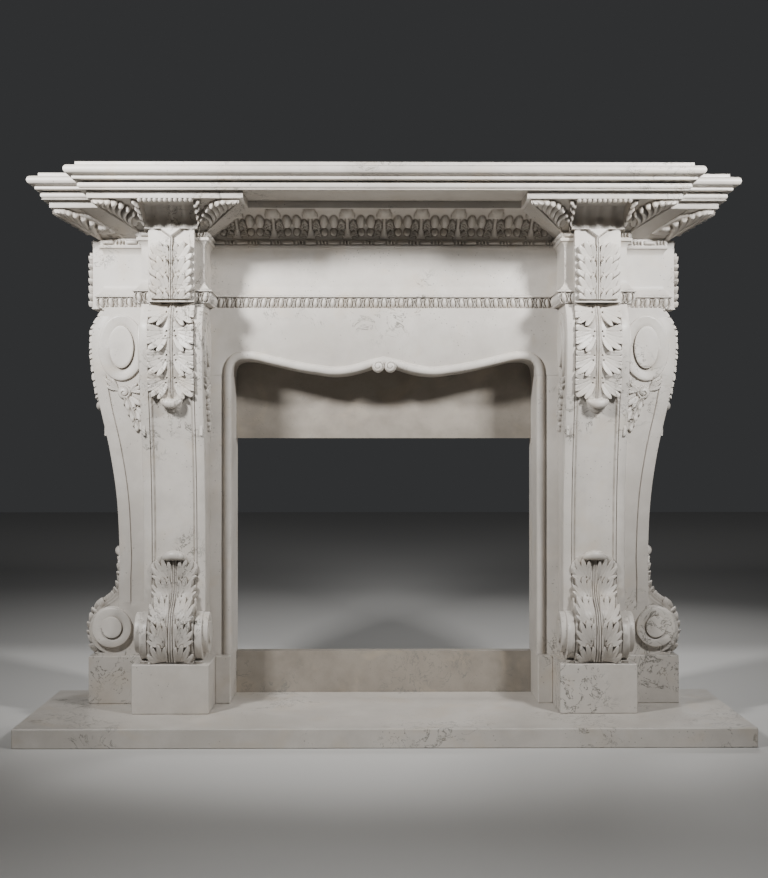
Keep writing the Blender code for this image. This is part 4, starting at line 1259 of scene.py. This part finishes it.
@dataclass
class Shelf:
    """The mantel shelf: one moulded slab that breaks forward over the legs and the middle."""

    plan: Plan
    foot: float
    flare_x: float = FLARE_X
    flare_y: float = FLARE_Y

    def profile(self) -> np.ndarray:
        """Points of the edge as (out, rise): fillets, a small round under a large one, and the top fillet."""
        small = np.linspace(-0.5, 0.5, 9) * math.pi
        large = np.linspace(-0.5, 0.5, 15) * math.pi
        rows = [(0.004, 0.0), (0.0185, 0.0), (0.0190, 0.0015), (0.0150, 0.0040)]
        rows += [(0.0150 + 0.0070 * math.cos(t), 0.0125 + 0.0080 * math.sin(t)) for t in small]
        rows += [(0.0060, 0.0225), (0.0040, 0.0260), (0.0340, 0.0270), (0.0350, 0.0280), (0.0350, 0.0350),
                 (0.0340, 0.0360), (0.0380, 0.0385)]
        rows += [(0.0430 + 0.0120 * math.cos(t), 0.0525 + 0.0130 * math.sin(t)) for t in large]
        rows += [(0.0290, 0.0662), (0.0270, 0.0675), (0.0270, 0.0768), (0.0258, 0.0780)]
        return np.array(rows)

    def build(self, material: bpy.types.Material, node: str) -> None:
        """Makes the shelf, one outline for each point of its profile."""
        plan = self.plan
        out, rise = self.profile().T
        half = plan.leg_x + plan.neck_half + self.flare_x + out
        side = plan.side_x + self.flare_x + out
        front, wing = plan.neck_y - self.flare_y - out, plan.main_y - self.flare_y - out
        wall = np.full_like(out, plan.wall_y)
        xs = np.stack([half, half, side, side], axis=1)
        ys = np.stack([front, wing, wing, wall], axis=1)
        xs = np.concatenate([-xs[:, ::-1], xs], axis=1)
        ys = np.concatenate([ys[:, ::-1], ys], axis=1)
        plans = np.stack([xs, ys], axis=-1)
        shells = Shells()
        stack(shells, plans, self.foot + rise)
        shells.piece("mantel_shelf_moulded", material, Slot.CARVED, node)


@dataclass
class Lintel:
    """The serpentine lintel and the two jambs, whose roll runs on along the lintel's edge."""

    inner: float
    pier_face: float
    spring: float
    head: float
    face_y: float
    lintel_back: float
    wall_y: float
    jamb_foot: float
    joint: float = 0.0003
    roll: float = 0.025
    relief: float = ROLL_PROUD
    ball: float = 0.0185

    def section(self) -> tuple[np.ndarray, np.ndarray]:
        """The roll's section: a small fillet, a half round and a fine groove, as (across, forward)."""
        turn = np.linspace(0.0, math.pi, 19)
        across = (1.0 - np.cos(turn)) / 2 * self.roll
        forward = np.sin(turn) ** 0.9 * self.relief
        across = np.concatenate([[0.0], across, [self.roll + 0.0015, self.roll + 0.0030]])
        forward = np.concatenate([[-0.004], forward, [-0.0012, 0.0]])
        return across, forward

    def edge(self, share: np.ndarray) -> tuple[np.ndarray, np.ndarray]:
        """The lintel's lower edge from the jamb to the centre: a shoulder, a long sag and a lift."""
        keys = (0.0, 0.004, 0.014, 0.030, 0.058, 0.105, 0.165, 0.235, 0.335, 0.450, 0.560, 0.660, 0.755,
                0.845, 0.910, 1.0)
        rise = (0.0, 0.017, 0.032, 0.041, 0.0465, 0.0480, 0.045, 0.037, 0.026, 0.014, 0.006, 0.000, 0.003,
                0.012, 0.022, 0.032)
        return self.inner * (1.0 - share), self.spring + smooth_through(share, keys, rise)

    def build(self, material: bpy.types.Material) -> None:
        """Makes the lintel and the jambs."""
        across, forward = self.section()
        share = np.concatenate([np.linspace(0.0, 0.06, 34)[:-1], np.linspace(0.06, 1.0, 110)])
        x, z = self.edge(share)
        dx, dz = np.gradient(x), np.gradient(z)
        size = np.hypot(dx, dz)
        normal_x, normal_z = dz / size, -dx / size
        normal_x[0], normal_z[0] = 1.0, 0.0
        normal_x[-1], normal_z[-1] = 0.0, 1.0
        face_x = x[:, None] + normal_x[:, None] * across
        face_z = z[:, None] + normal_z[:, None] * across
        face_y = np.broadcast_to(self.face_y - forward, face_x.shape)
        reach = np.clip(share / 0.10, 0.0, 1.0)
        top_x = np.where(share < 0.10, self.pier_face, self.pier_face * (1.0 - (share - 0.10) / 0.90))
        top_z = self.spring + (self.head - self.spring) * reach
        ring = [np.stack([face_x, face_y, face_z], axis=-1)]
        for y in (self.face_y, self.lintel_back):
            ring.append(np.stack([top_x, np.full_like(x, y), top_z], axis=-1)[:, None])
        ring.append(np.stack([x, np.full_like(x, self.lintel_back), z], axis=-1)[:, None])
        half = np.concatenate(ring, axis=1)
        other = half[::-1] * np.array([-1.0, 1.0, 1.0])
        whole = np.concatenate([half, other[1:]])
        shells = Shells()
        shells.loft(whole)
        for side in (-1.0, 1.0):
            self.scroll(shells, side)
        shells.piece("lintel_moulded", material, Slot.CARVED, "lintel")
        for side, name in ((-1.0, "jamb_left"), (1.0, "jamb_right")):
            self.jamb(name, side, material)

    def scroll(self, shells: Shells, side: float) -> None:
        """A small volute ball at the middle of the lintel: a dome with a spiral groove."""
        turn = np.linspace(0.0, 2.0 * math.pi, 49)[:-1]
        radii = np.linspace(1.0, 0.04, 20)[:, None]
        dome = np.sqrt(np.clip(1.0 - radii**2, 0.0, 1.0))
        spiral = (turn[None] / (2.0 * math.pi) + radii * 1.9) % 1.0
        groove = np.exp(-((spiral - 0.5) / 0.10) ** 2) * (radii > 0.25) * (radii < 0.9)
        forward = self.relief + 0.012 * dome - 0.0035 * groove
        centre = (side * self.ball * 1.03, self.spring + 0.027)
        xs = centre[0] + self.ball * radii * np.cos(turn)
        zs = centre[1] + self.ball * radii * np.sin(turn)
        ys = self.face_y - forward
        behind = np.stack([xs[:1], np.full_like(xs[:1], self.face_y + 0.02), zs[:1]], axis=-1)
        rings = np.concatenate([behind, np.stack([xs, ys, zs], axis=-1)])
        # The spiral groove is marked for painted shade and patina in the finish.
        hollow = np.concatenate([np.zeros((1, 48)), groove * 0.9])
        shells.loft(rings, hollow)

    def jamb(self, node: str, side: float, material: bpy.types.Material) -> None:
        """A jamb: the same roll on a plain upright."""
        across, forward = self.section()
        xs = np.concatenate([[self.inner], self.inner + across, [self.pier_face, self.pier_face]])
        ys = np.concatenate([[self.wall_y], self.face_y - forward, [self.face_y, self.wall_y]])
        plan = np.stack([side * xs, ys], axis=-1)
        shells = Shells()
        stack(shells, np.stack([plan, plan]), np.array([self.jamb_foot, self.spring - self.joint * 2]))
        shells.piece(node + "_moulded", material, Slot.CARVED, node)


# Stage


@dataclass(frozen=True)
class Lamp:
    """A square soft light: its place, the point it faces, its side, power, and its beam's whole angle."""

    name: str
    place: Point3
    target: Point3
    size: float
    power: float
    spread: float


@dataclass(frozen=True)
class Studio:
    """The pale floor, the soft lights and the camera."""

    lens: float = 54.9
    camera_place: Point3 = (-0.041, -4.046, 0.865)
    camera_turn: Point3 = (90.04, 0.0, -0.556)
    floor_reach: float = 12.0
    floor_colour: Colour = (0.58, 0.57, 0.55, 1.0)
    air_colour: Colour = (0.80, 0.82, 0.85, 1.0)
    air_strength: float = 0.045
    lamps: tuple[Lamp, ...] = (
        Lamp("key_left", (-1.62, -1.62, 2.20), (-0.55, 0.0, 1.62), 0.30, 35.0, 92.0),
        Lamp("key_right", (1.55, -1.66, 2.20), (0.60, 0.0, 1.62), 0.30, 30.0, 92.0),
        Lamp("back_light", (1.4, 3.2, 2.9), (0.0, 0.3, 1.0), 1.0, 22.0, 120.0),
        Lamp("floor_light", (0.0, -2.3, 2.60), (0.0, -2.3, 0.0), 1.2, 9.0, 75.0),
    )

    def floor(self) -> None:
        """A wide pale floor under the hearth."""
        mesh = bpy.data.meshes.new("floor")
        reach = self.floor_reach
        corners = [(-reach, -reach, 0.0), (reach, -reach, 0.0), (reach, reach, 0.0), (-reach, reach, 0.0)]
        mesh.from_pydata(corners, [], [(0, 1, 2, 3)])
        made = bpy.data.objects.new("floor", mesh)
        bpy.context.scene.collection.objects.link(made)
        graph = Graph("floor_paint")
        graph.shader.inputs["Base Color"].default_value = self.floor_colour
        graph.shader.inputs["Roughness"].default_value = 0.8
        mesh.materials.append(graph.material)

    def light(self, lamp: Lamp) -> None:
        """Makes one light and turns it to its target."""
        data = bpy.data.lights.new(lamp.name, "AREA")
        data.shape = "SQUARE"
        data.size = lamp.size
        data.energy = lamp.power
        data.spread = math.radians(lamp.spread)
        made = bpy.data.objects.new(lamp.name, data)
        bpy.context.scene.collection.objects.link(made)
        heading = np.subtract(lamp.target, lamp.place)
        flat = math.hypot(heading[0], heading[1])
        made.location = lamp.place
        made.rotation_euler = (math.atan2(flat, -heading[2]), 0.0, math.atan2(-heading[0], heading[1]))

    def build(self) -> None:
        """Sets up the floor, world, lights and camera."""
        self.floor()
        world = bpy.data.worlds.new("studio")
        world.use_nodes = True
        background = world.node_tree.nodes["Background"]
        background.inputs["Color"].default_value = self.air_colour
        background.inputs["Strength"].default_value = self.air_strength
        bpy.context.scene.world = world
        for lamp in self.lamps:
            self.light(lamp)
        data = bpy.data.cameras.new("camera")
        data.lens = self.lens
        data.sensor_fit = "AUTO"
        camera = bpy.data.objects.new("camera", data)
        camera.location = self.camera_place
        camera.rotation_euler = tuple(math.radians(angle) for angle in self.camera_turn)
        bpy.context.scene.collection.objects.link(camera)
        bpy.context.scene.camera = camera


def keep_sizes() -> None:
    """Updates the view layer."""
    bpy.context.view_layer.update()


def dress_blocks(frame: dict, carved: bpy.types.Material, hearth: bpy.types.Material,
                 slip: bpy.types.Material) -> None:
    """Gives the plain blocks, whose frame nodes stay, their stone."""
    finishes = {"hearth_slab": (hearth, Slot.HEARTH), "firebox_sill": (slip, Slot.SLIP),
                "firebox_header": (slip, Slot.SLIP)}
    for name in ("plinth_left", "plinth_right", "pier_left", "pier_right", "jamb_base_left", "jamb_base_right"):
        finishes[name] = (carved, Slot.CARVED)
    for name, (material, slot) in finishes.items():
        node = frame["nodes"][name]
        node.data.materials.clear()
        node.data.materials.append(material)
        LOG.info("%s keeps its frame solid", name)


def main() -> None:
    """Builds the scene around the frame."""
    logging.basicConfig(level=logging.INFO, format="%(message)s")
    for thing in list(bpy.data.objects):
        bpy.data.objects.remove(thing, do_unlink=True)
    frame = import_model()
    Studio().build()
    carved = StoneFinish("carved_marble").make()
    hearth = StoneFinish("hearth_marble", roughness=0.36, veins=0.8).make()
    slip = StoneFinish("slip_marble", pale=(0.28, 0.250, 0.212, 1.0), deep=(0.21, 0.185, 0.155, 1.0),
                       veins=1.4).make()
    dress_blocks(frame, carved, hearth, slip)
    pier_low, pier_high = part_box("pier_right")
    frieze_low, frieze_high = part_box("frieze_course")
    cornice_low, cornice_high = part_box("cornice_course")
    shelf_low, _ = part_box("mantel_shelf")
    _, lintel_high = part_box("lintel")
    jamb_low, jamb_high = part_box("jamb_right")
    leg_x = (pier_low.x + pier_high.x) / 2
    wall_y = pier_high.y
    plan = Plan(leg_x, wall_y - MAIN_DEEP, wall_y - NECK_DEEP, leg_x + SIDE_REACH, wall_y)
    build_consoles(carved)
    Frieze(plan, frieze_low.z, frieze_high.z).build(carved)
    Cornice(plan, cornice_low.z, cornice_high.z).build(carved)
    Shelf(plan, shelf_low.z).build(carved, "mantel_shelf")
    face_y = jamb_low.y + ROLL_PROUD
    Lintel(jamb_low.x, lintel_high.x, jamb_high.z, lintel_high.z, face_y, lintel_high.y, wall_y,
           jamb_low.z).build(carved)
    keep_sizes()


if __name__ == "__main__":
    main()
